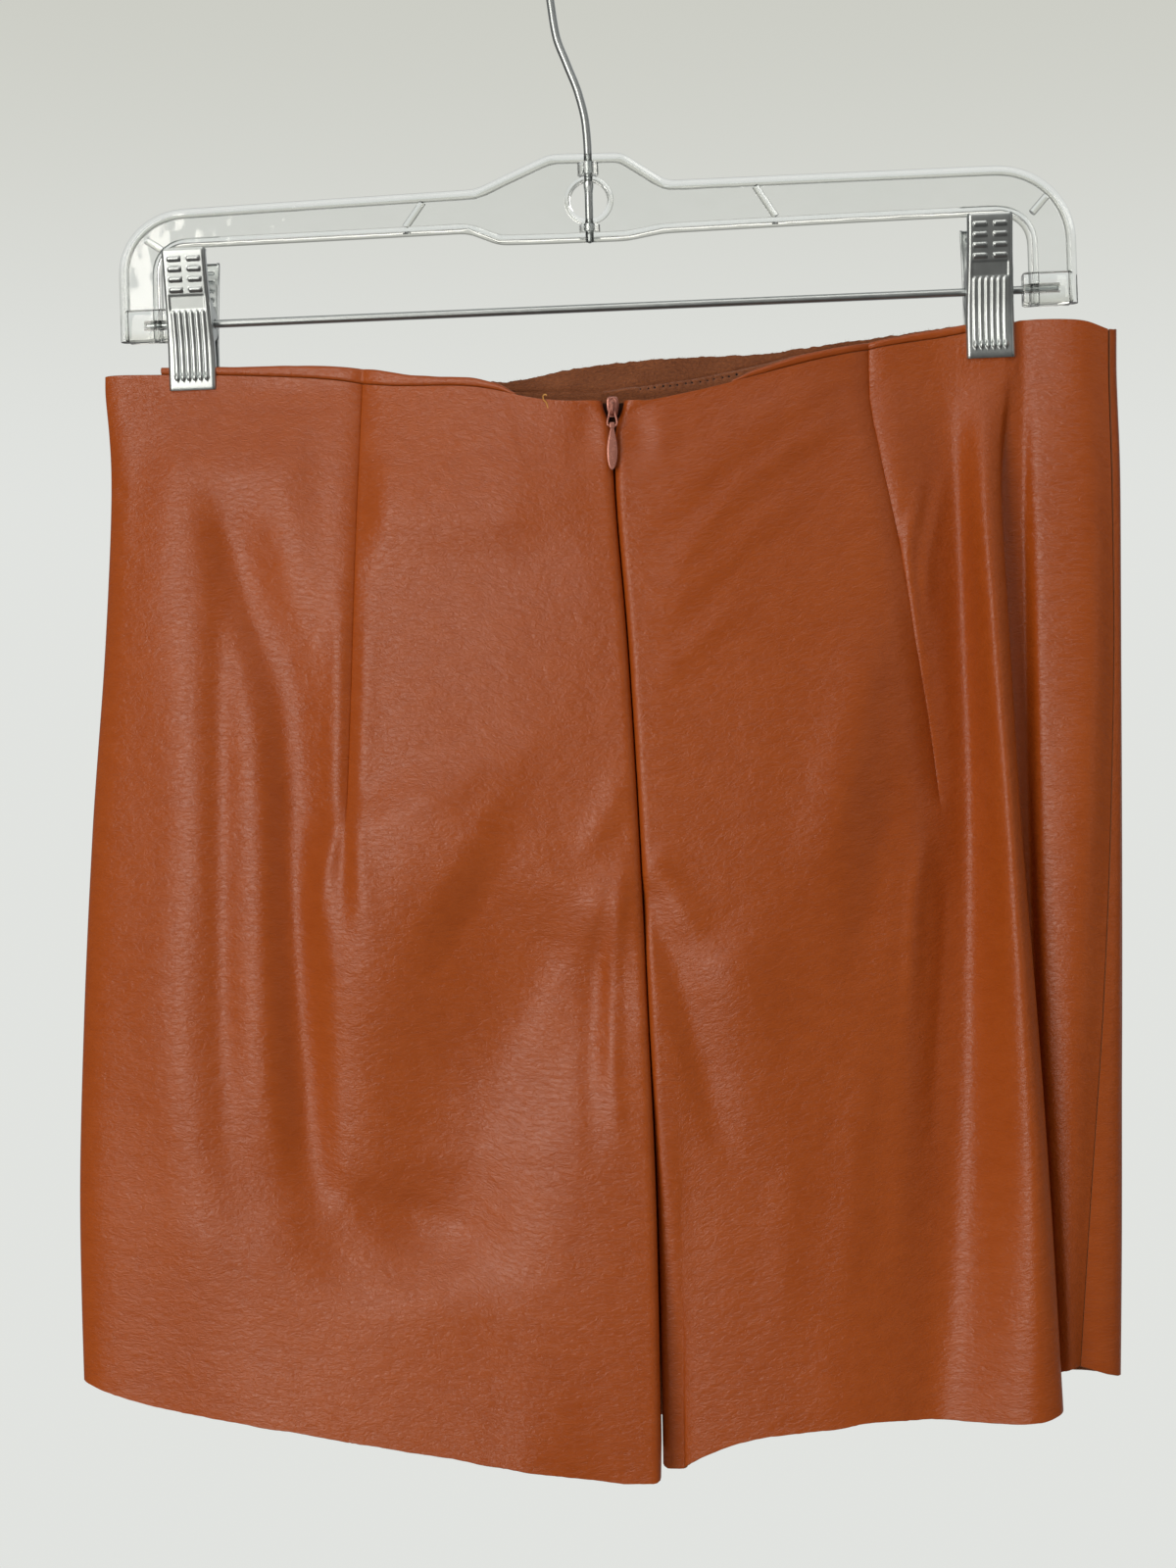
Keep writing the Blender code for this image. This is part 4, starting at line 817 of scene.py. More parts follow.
for side, shorts_lines in (("left", SHORTS_LEFT), ("right", SHORTS_RIGHT)):
    shorts_grid, shorts_places, _ = draped(shorts_lines, 2.4, 150)
    shorts_room = 0.6 * room_behind(shorts_grid[..., 0], shorts_grid[..., 1])
    shorts_grid = creased(shorts_grid, shorts_places, (), shorts_room)
    cloth(f"{side}_shorts_front", f"front_{side}", shorts_grid, shorts_places, FRONT_JAWS, REVERSE_FIRST)


# The front's waist facing, flipped up so that the suede reverse of the cloth shows above the low back waist.
# Its top is a raw edge with fibres standing out of it. Below its seam the allowance is pressed down and
# pierced by a row of needle holes.

# Across, the drop of the raw top and the drop of the seam that the facing folds up from.
FRONT_FACING = ((-156, 172.8, 175.0), (-110, 173.4, 175.6), (-60, 176.0, 178.4), (-34, 175.8, 179.3),
                (0, 170.8, 180.0), (25, 168.4, 177.6), (47, 167.2, 173.9), (63, 166.4, 170.4),
                (84, 164.1, 165.9), (104, 161.6, 164.0), (130, 158.4, 163.2), (156, 155.0, 162.4))
FACING_DEPTH = 13.0
OVER_ALLOWANCE = 3.4
facing_knots, facing_tops, facing_seams = np.array(FRONT_FACING, float).T


def facing_out(across, drop):
    """How far out the front facing lies: over the skirt, and over the allowance beside the centre."""
    over_allowance = OVER_ALLOWANCE * ramp(40.0 - np.abs(across - 10.0), 0.0, 24.0)
    return under_skirt(across, drop) + PLY + over_allowance + 0.25 * ramp(drop, 176.0, 184.0)


facing_across = np.linspace(-156.0, 156.0, 480)[:, None]
torn = 0.26 * swells(facing_across, 0.0, (2.6, 1.0), 21) + 0.14 * swells(facing_across, 0.0, (0.8, 1.0), 22)
facing_top = smooth(facing_knots, facing_tops, facing_across) + torn
facing_seam = smooth(facing_knots, facing_seams, facing_across)
above_seam = np.linspace(0.0, 1.0, 14)
below_seam = np.linspace(0.06, 1.0, 10)
facing_drop = np.concatenate((facing_top + (facing_seam - facing_top) * above_seam,
                              facing_seam + below_seam * FACING_DEPTH), axis=1)
facing_x = np.broadcast_to(facing_across, facing_drop.shape)
facing_height = facing_out(facing_x, facing_drop) + 0.25 * swells(facing_x, facing_drop, (17.0, 6.0), 23)
facing_height = facing_height - 0.45 * np.exp(-(((facing_drop - facing_seam) / 0.7) ** 2))
facing_grid = stacked(facing_x, facing_drop, facing_height)
front_facing = cloth("front_facing_cloth", "front_facing", facing_grid, facing_x, ("front_skirt",),
                     REVERSE_FIRST, "suede_reverse")

# The allowance below the seam, and how deep each needle stitch pulls it in.
STITCH_DEPTH = 0.8
allowance_across = np.linspace(5.2, 80.0, 300)[:, None]
allowance_head = smooth(facing_knots, facing_seams, allowance_across)
allowance_down = np.concatenate((np.linspace(0.0, 3.0, 15), np.linspace(3.4, 8.0, 8)))
allowance_drop = allowance_head + 0.15 + allowance_down + 0.2 * swells(allowance_across, 0.0, (7.0, 1.0), 25)
allowance_x = np.broadcast_to(allowance_across, allowance_drop.shape)
allowance_out = facing_out(allowance_x, allowance_drop) + 0.35 + 0.75 * ramp(allowance_down, 0.0, 0.9)
allowance_out = allowance_out + 0.2 * swells(allowance_x, allowance_drop, (9.0, 4.0), 26)
stitch = np.arange(14)
hole_across = 19.2 + 2.75 * stitch + 0.25 * np.sin(stitch * 2.4)
hole_below = 1.15 + 0.045 * stitch + 0.12 * np.sin(stitch * 1.7)
hole_drop = smooth(facing_knots, facing_seams, hole_across) + hole_below
hole_away = np.hypot(allowance_x[..., None] - hole_across, allowance_drop[..., None] - hole_drop)
allowance_out = allowance_out - STITCH_DEPTH * np.exp(-((hole_away / 0.7) ** 2)).sum(axis=-1)
allowance_grid = stacked(allowance_x, allowance_drop, allowance_out)
allowance = shell("facing_seam_allowance", allowance_grid, allowance_x, REVERSE_FIRST, 0.8)

# Nearly black, as painted shade: the finish of the knots in the needle holes.
thread = Finish("dark sewing thread", Roughness=0.7, IOR=1.4)
thread.tinted(thread.noise(thread.solid_place(900.0)), (0.008, 0.003, 0.002), (0.022, 0.008, 0.004))

suede_fibre = Finish("suede fibres", Roughness=0.9, IOR=1.4)
fibre_shade = suede_fibre.noise(suede_fibre.solid_place(300.0))
suede_fibre.tinted(fibre_shade, (0.19, 0.054, 0.019), (0.34, 0.108, 0.042))


def loft(rings, wrap=False):
    """A skin carried from ring to ring. Its ends are closed, or joined to each other where it wraps round."""
    count, sides = rings.shape[:2]
    index = np.arange(count * sides).reshape(count, sides)
    after = np.roll(index, -1, axis=1)
    walls = stacked(index, after, np.roll(after, -1, axis=0), np.roll(index, -1, axis=0))
    walls = walls[:count if wrap else count - 1].reshape(-1, 4)
    return rings.reshape(-1, 3), [walls] if wrap else [walls, index[:1, ::-1], index[-1:]]


def tube(path, radius, sides=10, wrap=False, deep=None, side=(0.0, 1.0, 0.0)):
    """A rod along a path. Its section is round, or as deep towards side as is given."""
    path = np.asarray(path, float)
    heading = np.roll(path, -1, axis=0) - np.roll(path, 1, axis=0) if wrap else np.gradient(path, axis=0)
    second = np.broadcast_to(np.asarray(side, float), path.shape)
    first = unit(np.cross(unit(heading), second))
    angle = turns(sides)[:, None]
    wide = np.broadcast_to(radius, len(path))[:, None, None]
    tall = wide if deep is None else np.broadcast_to(deep, len(path))[:, None, None]
    rings = path[:, None] + first[:, None] * np.cos(angle) * wide + second[:, None] * np.sin(angle) * tall
    return loft(rings, wrap)


def solid_piece(name, parts, finish, node=None, body="skort_on_hanger"):
    """One piece made of closed parts, with points that coincide joined and every face turned outwards.

    Where a node is given, it stands in that plain solid's place.
    """
    points, faces, start = [], [], 0
    for part_points, part_faces in parts:
        points.append(part_points)
        for same_sided in part_faces:
            faces += (same_sided + start).tolist()
        start += len(part_points)
    made = piece(name, np.concatenate(points), faces, (finish,), body=body)
    turned = bmesh.new()
    turned.from_mesh(made.data)
    bmesh.ops.remove_doubles(turned, verts=turned.verts, dist=1e-7)
    bmesh.ops.recalc_face_normals(turned, faces=turned.faces)
    turned.to_mesh(made.data)
    turned.free()
    made.data.shade_smooth()
    made.data.set_sharp_from_angle(angle=math.radians(40.0))
    if node:
        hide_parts(node)
    return made


def strands(roots, headings, lengths, curls, radius):
    """Many short fibres, each a thin three-sided rod that starts at its root and bends with its curl."""
    share = np.linspace(0.0, 1.0, 4)[None, :, None]
    spine = roots[:, None] + headings[:, None] * lengths[:, None, None] * share + curls[:, None] * share ** 2
    turn = turns(3)
    section = stacked(np.cos(turn), np.sin(turn), 0.0) * radius
    rings = spine[:, :, None] + section * (1.05 - 0.8 * share[..., None])
    index = np.arange(len(roots) * 12).reshape(-1, 4, 3)
    after = np.roll(index, -1, axis=2)
    walls = stacked(index[:, :-1], after[:, :-1], after[:, 1:], index[:, 1:]).reshape(-1, 4)
    return rings.reshape(-1, 3), [walls, index[:, 0, ::-1], index[:, -1]]


# The needle holes show as dark dots: painted shade, as nearly black knots shaped as thread that stand
# slightly proud in them. Each knot is built as rings of half a width and a height.
knot_turn = turns(8)
knot = np.stack([stacked(wide * np.cos(knot_turn), -raised, 0.8 * wide * np.sin(knot_turn))
                 for wide, raised in ((0.42, -0.5), (0.6, -0.25), (0.5, 0.08), (0.2, 0.2))])
hole_middle = in_space(stacked(hole_across, hole_drop, facing_out(hole_across, hole_drop) + 0.95))
solid_piece("needle_hole_shade_knots", [loft(middle + knot) for middle in hole_middle], thread)

FIBRES = 900
chance = np.random.default_rng(31)
fibre_place = chance.uniform(0.0, len(facing_grid) - 1.001, FIBRES)
fibre_row = fibre_place.astype(int)
fibre_part = (fibre_place - fibre_row)[:, None]
facing_edge = in_space(facing_grid[:, 0])
fibre_roots = facing_edge[fibre_row] * (1 - fibre_part) + facing_edge[fibre_row + 1] * fibre_part
fibre_roots = fibre_roots + chance.uniform((-0.1, -0.35, -0.25), (0.1, 0.35, 0.05), (FIBRES, 3))
fibre_heading = unit(chance.normal((0.0, -0.15, 0.75), (0.75, 0.4, 0.35), (FIBRES, 3)))
fibre_curl = chance.normal(0.0, 0.28, (FIBRES, 3))
fibre_length = chance.uniform(0.25, 0.95, FIBRES)
fibres = strands(fibre_roots, fibre_heading, fibre_length, fibre_curl, 0.045)
solid_piece("raw_edge_fibres", [fibres], suede_fibre)


# The back facings, each a narrow strip of the cloth whose top rolls over level with the panel, so that a
# slim band of it shows above the waist seam. Its lower part hangs one ply inside the back.

# Across and the drop of the rolled top.
LEFT_BACK_FACING = ((-160, 170.8), (-128, 170.8), (-107, 170.9), (-86, 172.4), (-62, 176.4), (-44, 177.6),
                    (-33, 180.2), (-26, 184.2))
RIGHT_BACK_FACING = ((53, 179.8), (62, 175.6), (83, 168.8), (103, 164.6), (116, 161.9), (130, 159.2),
                     (153, 155.4))
FACING_FOLD = 1.9


def back_facing(name, node, panel, table):
    """One back facing, which follows the waist edge of its panel's grid and rolls over its top."""
    knots, tops = np.array(table, float).T
    if knots[0] < 0:
        panel = panel[np.argmin(panel[:, 0, 0]):]
    across = np.linspace(knots[0], knots[-1], int((knots[-1] - knots[0]) / 0.9))
    seam, edge = (np.interp(across, panel[:, 0, 0], panel[:, 0, axis]) for axis in (1, 2))
    lower = np.interp(across, panel[:, 6, 0], panel[:, 6, 2])
    top = smooth(knots, tops, across) + 0.12 * swells(across, 0.0, (6.0, 1.0), 27)
    top = np.minimum(top, seam - 0.25)
    slim = np.clip((seam - top) / 2.6, 0.1, 1.0)
    stages = np.stack([stacked(across, drop, out) for drop, out in (
        (top + 0.9 * slim, edge - 1.15),
        (top + 0.1 * slim, edge - 0.85),
        (top, edge - 0.3),
        (top + 0.6 * slim, edge),
        (seam - FACING_FOLD * slim, edge),
        (seam - slim, edge - 0.35),
        (seam - 0.3 * slim, edge - PLY),
        (seam + 3.0, edge - PLY),
        (seam + 8.0, lower - PLY - 0.25))])
    grid = smooth(np.arange(9.0), stages, np.linspace(0.0, 8.0, 33)).transpose(1, 0, 2)
    places = np.broadcast_to(across[:, None], grid.shape[:2])
    cloth(name, node, grid, places, (node.replace("facing_", ""),))


back_facing("left_facing_cloth", "back_facing_left", left_grid, LEFT_BACK_FACING)
back_facing("right_facing_cloth", "back_facing_right", right_grid, RIGHT_BACK_FACING)


# A loose end of golden sewing thread, left over from the waist seam and never trimmed. Its twisted strand
# stands up at the waist, left of the zip, and curls over.

golden_thread = Finish("golden thread", Roughness=0.55, IOR=1.45)
golden_twist = golden_thread.noise(golden_thread.solid_place(1600.0))
golden_thread.tinted(golden_twist, (0.56, 0.24, 0.05), (0.78, 0.40, 0.10))
THREAD_KNOTS = np.array((
    (-13.6, 190.2, 20.4), (-14.4, 187.6, 20.6), (-15.4, 186.4, 20.9), (-15.6, 185.3, 21.0),
    (-14.8, 184.6, 21.1), (-14.2, 185.1, 21.2)))
thread_path = smooth(np.arange(6.0), in_space(THREAD_KNOTS), np.linspace(0.0, 5.0, 30))
solid_piece("loose_thread", [tube(thread_path, 0.26, 6)], golden_thread)


# The concealed zip. Its two woven tapes lie behind the seam allowances, with a nylon coil along their inner
# side, and its painted slider stands in the open mouth at the top of the seam.

ZIP_END = 358.0
TAPE = 1.0
TAPE_HALF_WIDTH = 6.5
tape = Finish("woven tape", Roughness=0.85, IOR=1.4)
tape_spot = tape.place(1.6, 1.6, 1.0)
tape_weave = tape.node("ShaderNodeTexWave", {"bands_direction": "DIAGONAL"},
                       {0: tape_spot, 1: 1.0, 2: 1.2}, 1)
tape.tinted(tape_weave, (0.052, 0.016, 0.007), (0.135, 0.043, 0.018))
tape.bumped(tape_weave, 0.0003)
tape_drop = np.linspace(ZIP_TOP, ZIP_END, 90)
tape_out = smooth(LEVELS, BACK_OUT[-1], tape_drop) - ALLOWANCE - 1.2
tape_across = np.linspace(-TAPE_HALF_WIDTH, TAPE_HALF_WIDTH, 27)[:, None]
tape_grid = stacked(centre(tape_drop) + tape_across, tape_drop, tape_out)
tape_grid[..., 2] -= 0.3 * np.exp(-((tape_across / 0.5) ** 2))
tape_places = np.broadcast_to(tape_across, tape_grid.shape[:2])
cloth("zip_tapes", "zip_tape", tape_grid, tape_places, (left_back, right_back), (tape, tape, tape),
      "zip_tape", TAPE)

COILS = 125
nylon = Finish("coil nylon", Roughness=0.4, IOR=1.5)
nylon.tinted(nylon.noise(nylon.solid_place(500.0)), (0.070, 0.022, 0.010), (0.130, 0.042, 0.018))
coil_turn = np.linspace(0.0, 2 * math.pi * COILS, COILS * 9)
coil_drop = np.linspace(ZIP_TOP + 6.0, ZIP_END - 4.0, len(coil_turn))
coil_out = smooth(LEVELS, BACK_OUT[-1], coil_drop) - ALLOWANCE - 2.7 + 0.55 * np.sin(coil_turn)
for side, way in (("left", -1), ("right", 1)):
    coil_across = centre(coil_drop) + way * (0.9 + 0.8 * np.cos(coil_turn))
    coil = tube(in_space(stacked(coil_across, coil_drop, coil_out)), 0.27, 5, side=(0.0, 0.0, 1.0))
    solid_piece(f"zip_coil_{side}", [coil], nylon)

zip_paint = Finish("painted zip metal", Metallic=0.35, IOR=1.5)
zip_wear = zip_paint.noise(zip_paint.solid_place(420.0), 3.0, 0.6)
zip_paint.tinted(zip_wear, (0.430, 0.160, 0.115), (0.580, 0.250, 0.190))
zip_paint.varies("Roughness", 0.18 + 0.16 * zip_wear)

# The pivot that the tab hangs from. The shapes of the slider and the pull are columns across, below it and
# out from it.
PIVOT = np.array((float(centre(ZIP_TOP)), 190.3, 24.9))


def at_pivot(points):
    """Columns across, below and out from the pivot turned into x, y and z."""
    return in_space(np.asarray(points, float) + PIVOT)


def squared(angle, power):
    """How many times farther out a rounded square lies than a circle. A higher power has sharper corners."""
    return (np.abs(np.cos(angle)) ** power + np.abs(np.sin(angle)) ** power) ** (-1 / power)


# The slider's two plates and the post between them, each level as grown, the share of its full outline, and
# how far out it lies. Then the raised rim on its face and the loop that holds the pull.
SLIDER_LEVELS = ((0.9, -9.6), (1.0, -9.2), (1.0, -8.2), (0.72, -8.0), (0.72, -5.2), (1.0, -5.0), (1.0, -2.6),
                 (0.93, -2.25), (0.8, -2.15))
SLIDER_MIDDLE = -1.2
RIM = np.array(((-1.15, 1.6, -2.2), (-1.3, -0.6, -2.15), (-1.3, -2.6, -2.1), (0.0, -4.0, -2.1),
                (1.3, -2.6, -2.1), (1.3, -0.6, -2.15), (1.15, 1.6, -2.2)))
LOOP = np.array(((0.0, -2.1, -2.5), (0.0, -1.75, 0.4), (0.0, -0.8, 1.5), (0.0, 0.8, 1.5), (0.0, 1.75, 0.4),
                 (0.0, 2.0, -2.5)))
slider_turn = turns(32)
rounded_cos, rounded_sin = np.array((np.cos(slider_turn), np.sin(slider_turn))) * squared(slider_turn, 5)
slider_reach = 3.3 * rounded_sin
slider_half = 2.15 - 0.45 * ramp(SLIDER_MIDDLE + slider_reach, -2.4, 2.1)
slider_rings = np.stack([
    stacked(slider_half * grown * rounded_cos, SLIDER_MIDDLE + slider_reach * grown, out)
    for grown, out in SLIDER_LEVELS])
rim_path = smooth(np.arange(7.0), RIM, np.linspace(0.0, 6.0, 40))
loop_path = smooth(np.arange(6.0), LOOP, np.linspace(0.0, 5.0, 36))
solid_piece("zip_slider_body", [
    loft(at_pivot(slider_rings)),
    tube(at_pivot(rim_path), 0.32, 8),
    tube(at_pivot(loop_path), 0.42, 10, side=(1.0, 0.0, 0.0)),
], zip_paint, "zip_slider")


# The zip's pull: a bent wire bail that swings in the slider's loop, and a cast drop-shaped tab on the bail's
# foot, both painted to match the cloth.

BAIL = np.array(((0.0, -0.55, 0.0), (-0.55, 0.2, 0.0), (-1.1, 2.4, 0.0), (-1.72, 5.2, 0.0), (-1.5, 6.3, 0.0),
                 (0.0, 6.45, 0.0), (1.5, 6.3, 0.0), (1.72, 5.2, 0.0), (1.1, 2.4, 0.0), (0.55, 0.2, 0.0)))
bail_path = smooth(np.arange(16.0) - 3.0, np.take(BAIL, np.arange(-3, 13), axis=0, mode="wrap"),
                   np.linspace(0.0, 10.0, 60, endpoint=False))
# The tab: below the pivot, half as wide and half as thick.
TAB = np.array(((5.2, 0.15, 0.15), (5.3, 0.85, 0.5), (6.2, 1.0, 0.62), (7.1, 0.95, 0.6), (7.5, 0.72, 0.42),
                (8.0, 0.82, 0.45), (9.6, 1.15, 0.52), (12.4, 1.7, 0.58), (15.2, 1.95, 0.6),
                (18.2, 1.82, 0.58), (20.4, 1.4, 0.52), (21.8, 0.8, 0.42), (22.4, 0.15, 0.15)))
tab_levels = smooth(np.arange(13.0), TAB, np.linspace(0.0, 12.0, 61))
tab_below, tab_half, tab_thick = tab_levels.T[..., None]
tab_rings = stacked(tab_half * rounded_cos, tab_below, tab_thick * rounded_sin)
solid_piece("zip_pull_tab", [
    tube(at_pivot(bail_path), 0.4, 10, True),
    loft(at_pivot(tab_rings)),
], zip_paint, "zip_pull", "zip_tab")


# The hanger's frame, moulded in clear plastic: a thin web between two thick rounded beads, carried from arm
# to arm, with a ring and two bosses that take the hook, four ribs, and sockets for the ends of the bar.

TILT = math.radians(1.8)
RING_DROP = 109.2
BAR_HEIGHT = -40.0


def in_hanger(points):
    """Columns along the bar, out and up from the ring's centre, turned as the hanger hangs."""
    run, out, up = np.moveaxis(np.asarray(points, float), -1, 0)
    return stacked(run * math.cos(TILT) - up * math.sin(TILT), -out,
                   run * math.sin(TILT) + up * math.cos(TILT) - RING_DROP)


clear = Finish("clear plastic", Roughness=0.04, IOR=1.49, Transmission_Weight=1.0)
clear_cloud = clear.noise(clear.solid_place(60.0))
clear.tinted(clear_cloud, (0.95, 0.965, 0.955), (0.99, 0.995, 0.99))
clear.bumped(clear_cloud, 0.0004)

# The frame's edges between its corners: outer along and up, inner along and up. The ring stands after the
# fifth row.
FRAME_TOP = (
    (-95.0, 4.9, -95.0, -10.8),
    (-42.0, 6.0, -45.5, -10.3),
    (-33.0, 10.0, -34.0, -15.2),
    (-14.3, 17.8, -14.5, -15.5),
    (-11.5, 17.75, -11.5, -15.52),
    (11.5, 17.3, 11.5, -15.6),
    (13.0, 17.2, 13.8, -15.6),
    (29.0, 6.2, 27.0, -13.4),
    (90.0, 6.2, 90.0, -12.6),
)
LEFT_OF_RING = 5
# Along and up of a corner's centre, then how wide and tall its outer and inner edges are.
LEFT_CORNER = (-152.0, -20.0, 25.4, 23.6, 9.0, 8.8)
RIGHT_CORNER = (150.0, -22.0, 28.8, 28.2, 11.0, 9.8)
ARM_FOOT = -45.6
BEAD = 1.9
BEAD_HALF_DEPTH = 2.4
BORE = 1.9
WEB_HALF_DEPTH = 0.8
RING_RADIUS = 8.0


def corner(side, along_bar, up, outer_wide, outer_tall, inner_wide, inner_tall):
    """Both edges round a corner of the frame, from the arm to the top."""
    angle = np.linspace(0.0, math.pi / 2, 24)
    wide, tall = side * np.cos(angle), np.sin(angle)
    return stacked(along_bar + outer_wide * wide, up + outer_tall * tall,
                   along_bar + inner_wide * wide, up + inner_tall * tall)


def with_foot(arc):
    """A corner with its arm's straight foot below it."""
    foot = (arc[0, 0], ARM_FOOT, arc[0, 2], ARM_FOOT)
    return np.concatenate((np.linspace(foot, arc[0], 6)[:-1], arc))


left_arm = with_foot(corner(-1, *LEFT_CORNER))
right_arm = with_foot(corner(1, *RIGHT_CORNER))[::-1]
stations = np.concatenate((left_arm, np.array(FRAME_TOP), right_arm))


def bead(edge, inward):
    """A rounded bead along one edge of the frame, lying just inside it."""
    run = distance_along(edge)
    places = np.linspace(0.0, run[-1], int(run[-1] / 1.6))
    path = stacked(*(np.interp(places, run, edge[:, axis]) for axis in (0, 1)))
    path = rounded_off(places, 3.0, path)
    heading = unit(np.gradient(path, axis=0))
    path = path + inward * BEAD * stacked(heading[:, 1], -heading[:, 0])
    return tube(in_hanger(stacked(path[:, 0], 0.0, path[:, 1])), BEAD, 16, False, BEAD_HALF_DEPTH)


WEB_POINTS = 17


def web(part):
    """The web across some stations, each cut through as a closed outline of back and front points."""
    share = np.linspace(0.0, 1.0, WEB_POINTS)[None, :, None]
    inset = unit(part[:, 2:] - part[:, :2]) * BEAD
    outer, inner = (part[:, :2] + inset)[:, None], (part[:, 2:] - inset)[:, None]
    across = outer + (inner - outer) * share
    back, front = (stacked(across[..., 0], out, across[..., 1]) for out in (WEB_HALF_DEPTH, -WEB_HALF_DEPTH))
    return np.concatenate((back, front[:, ::-1]), axis=1)


# The web is two lengths that stop at either side of the ring, and a part with the ring's hole between them.
# That part's outside is closed along its top and its foot only, for the two lengths join it at its sides.
TOP_POINTS = 8
ring_station = len(left_arm) + LEFT_OF_RING
left_web, right_web = web(stations[:ring_station]), web(stations[ring_station:])
left_end, right_end = left_web[-1, :WEB_POINTS], right_web[0, :WEB_POINTS]
between = np.linspace(0.0, 1.0, TOP_POINTS + 2)[1:-1, None]
web_top = left_end[0] + (right_end[0] - left_end[0]) * between
web_foot = right_end[-1] + (left_end[-1] - right_end[-1]) * between
around = np.concatenate((left_end[::-1], web_top, right_end, web_foot))
hole = around.copy()
hole[:, [0, 2]] = RING_RADIUS * unit(around[:, [0, 2]])
to_front = np.array((1.0, -1.0, 1.0))
ring_outlines = np.stack((around, hole, hole * to_front, around * to_front))
ring_points, ring_faces = loft(in_hanger(ring_outlines), True)
ring_walls = ring_faces[0].reshape(4, len(around), 4)
top_start, foot_start = WEB_POINTS - 1, 2 * WEB_POINTS + TOP_POINTS - 1
ring_faces = [ring_walls[:3].reshape(-1, 4), ring_walls[3, top_start:top_start + TOP_POINTS + 1],
              ring_walls[3, foot_start:]]
left_points, left_faces = loft(in_hanger(left_web))
right_points, right_faces = loft(in_hanger(right_web))


def socket(mouth, far, blind):
    """A block that holds the bar's end in a blind bore, as rings of how far along, deep and tall."""
    angle = turns(32)
    square = squared(angle, 8)
    bevel = 0.05 * (far - mouth)
    rings = [stacked(run, half_deep * boxed * np.cos(angle), BAR_HEIGHT + half_tall * boxed * np.sin(angle))
             for run, half_deep, half_tall, boxed in (
                 (blind, BORE, BORE, 1.0), (mouth, BORE, BORE, 1.0), (mouth, 3.9, 5.7, square),
                 (mouth + bevel, 4.2, 6.0, square), (far - bevel, 4.2, 6.0, square), (far, 3.7, 5.5, square))]
    return loft(in_hanger(np.stack(rings)))


# A rib's two ends and a boss's, along the bar and up.
RIBS = (
    ((-68.9, -7.1), (-62.1, 2.0)),
    ((61.8, 2.6), (69.0, -8.9)),
    ((-166.7, -7.7), (-160.5, -11.8)),
    ((163.0, -11.8), (168.4, -5.9)),
)
BOSSES = (((0.0, 9.3), (0.0, 13.8)), ((0.0, -12.0), (0.0, -9.3)))


def straight(ends, count):
    """Points from one end to the other of a rib or a boss."""
    run, up = np.linspace(*ends, count).T
    return in_hanger(stacked(run, 0.0, up))


ring_turn = turns(48)
ring_path = RING_RADIUS * stacked(np.cos(ring_turn), 0.0, np.sin(ring_turn))
solid_piece("clear_hanger_frame", [
    bead(stations[:, :2], 1.0),
    bead(stations[:, 2:], -1.0),
    (left_points, left_faces[:2]),
    (right_points, [right_faces[0], right_faces[2]]),
    (ring_points, ring_faces),
    tube(in_hanger(ring_path), 1.2, 14, True, 2.0),
    *(tube(straight(ends, 4), 3.9, 32) for ends in BOSSES),
    *(tube(straight(ends, 6), 1.4, 14, False, 1.8) for ends in RIBS),
    socket(-158.8, -174.9, -167.9),
    socket(158.8, 176.6, 171.9),
], clear, "hanger_frame")


# The hook and the bar, both plain round wire, bent or cut from zinc-plated steel. The hook's foot stands in
# the frame's bosses and is crimped inside the ring, so that it can't be pulled out.

steel = Finish("zinc-plated steel", Metallic=1.0)
steel_cloud = steel.noise(steel.solid_place(240.0), 3.0, 0.6)
steel.tinted(steel_cloud, (0.60, 0.65, 0.65), (0.72, 0.76, 0.76))
steel.varies("Roughness", 0.32 + 0.1 * steel_cloud)

WIRE_RADIUS = 1.5
HOOK_RADIUS = 16.5
CRIMP_DROP = 103.6
# The wire from its foot up to the bend, as how far along the bar and its drop.
HOOK_RISE = ((0.4, 125.0), (0.1, 114.0), (-0.3, 97.0), (-0.5, 90.0), (-1.3, 80.5), (-3.9, 69.5), (-8.4, 58.0),
             (-12.2, 48.0), (-14.2, 36.0), (-15.6, 25.0))
rise = along(HOOK_RISE, 90)
bend_turn = np.linspace(math.pi, math.radians(-38.0), 60)
bend = stacked(HOOK_RADIUS * np.cos(bend_turn),
               HOOK_RADIUS - WIRE_RADIUS - HOOK_RADIUS * np.sin(bend_turn))
hook_run, hook_drop = np.concatenate((rise, bend[3:])).T
hook_path = stacked(hook_run, 0.0, -hook_drop)
crimp = np.exp(-(((hook_drop - CRIMP_DROP) / 1.6) ** 2))
from_end = np.arange(len(hook_drop)) + 0.4
end_round = ramp(from_end, 0.0, 1.0) * ramp(from_end[::-1], 0.0, 1.0)
hook = tube(hook_path, (WIRE_RADIUS + 0.35 * crimp) * end_round, 20, False,
            (WIRE_RADIUS - 0.45 * crimp) * end_round)
solid_piece("wire_hook", [hook], steel, "hanger_hook")

# The bar's ends are slightly rounded, and stop short of the bottoms of the sockets' bores.
bar_run = np.concatenate(([-167.5, -167.2], np.linspace(-166.5, 170.5, 60), [171.2, 171.5]))
bar_radius = np.concatenate(([1.1, 1.4], np.full(60, WIRE_RADIUS), [1.4, 1.1]))
bar = tube(in_hanger(stacked(bar_run, 0.0, BAR_HEIGHT)), bar_radius, 20)
solid_piece("steel_bar", [bar], steel, "hanger_bar")


# The two clips, each stamped from zinc-plated sheet: two jaws with a bent-in rim, grip bars pressed into
# the thumb end and ribs below them. The bar runs through their ears, and a coiled spring holds them shut.

CLIP_PLACES = {"left": -150.0, "right": 146.0}
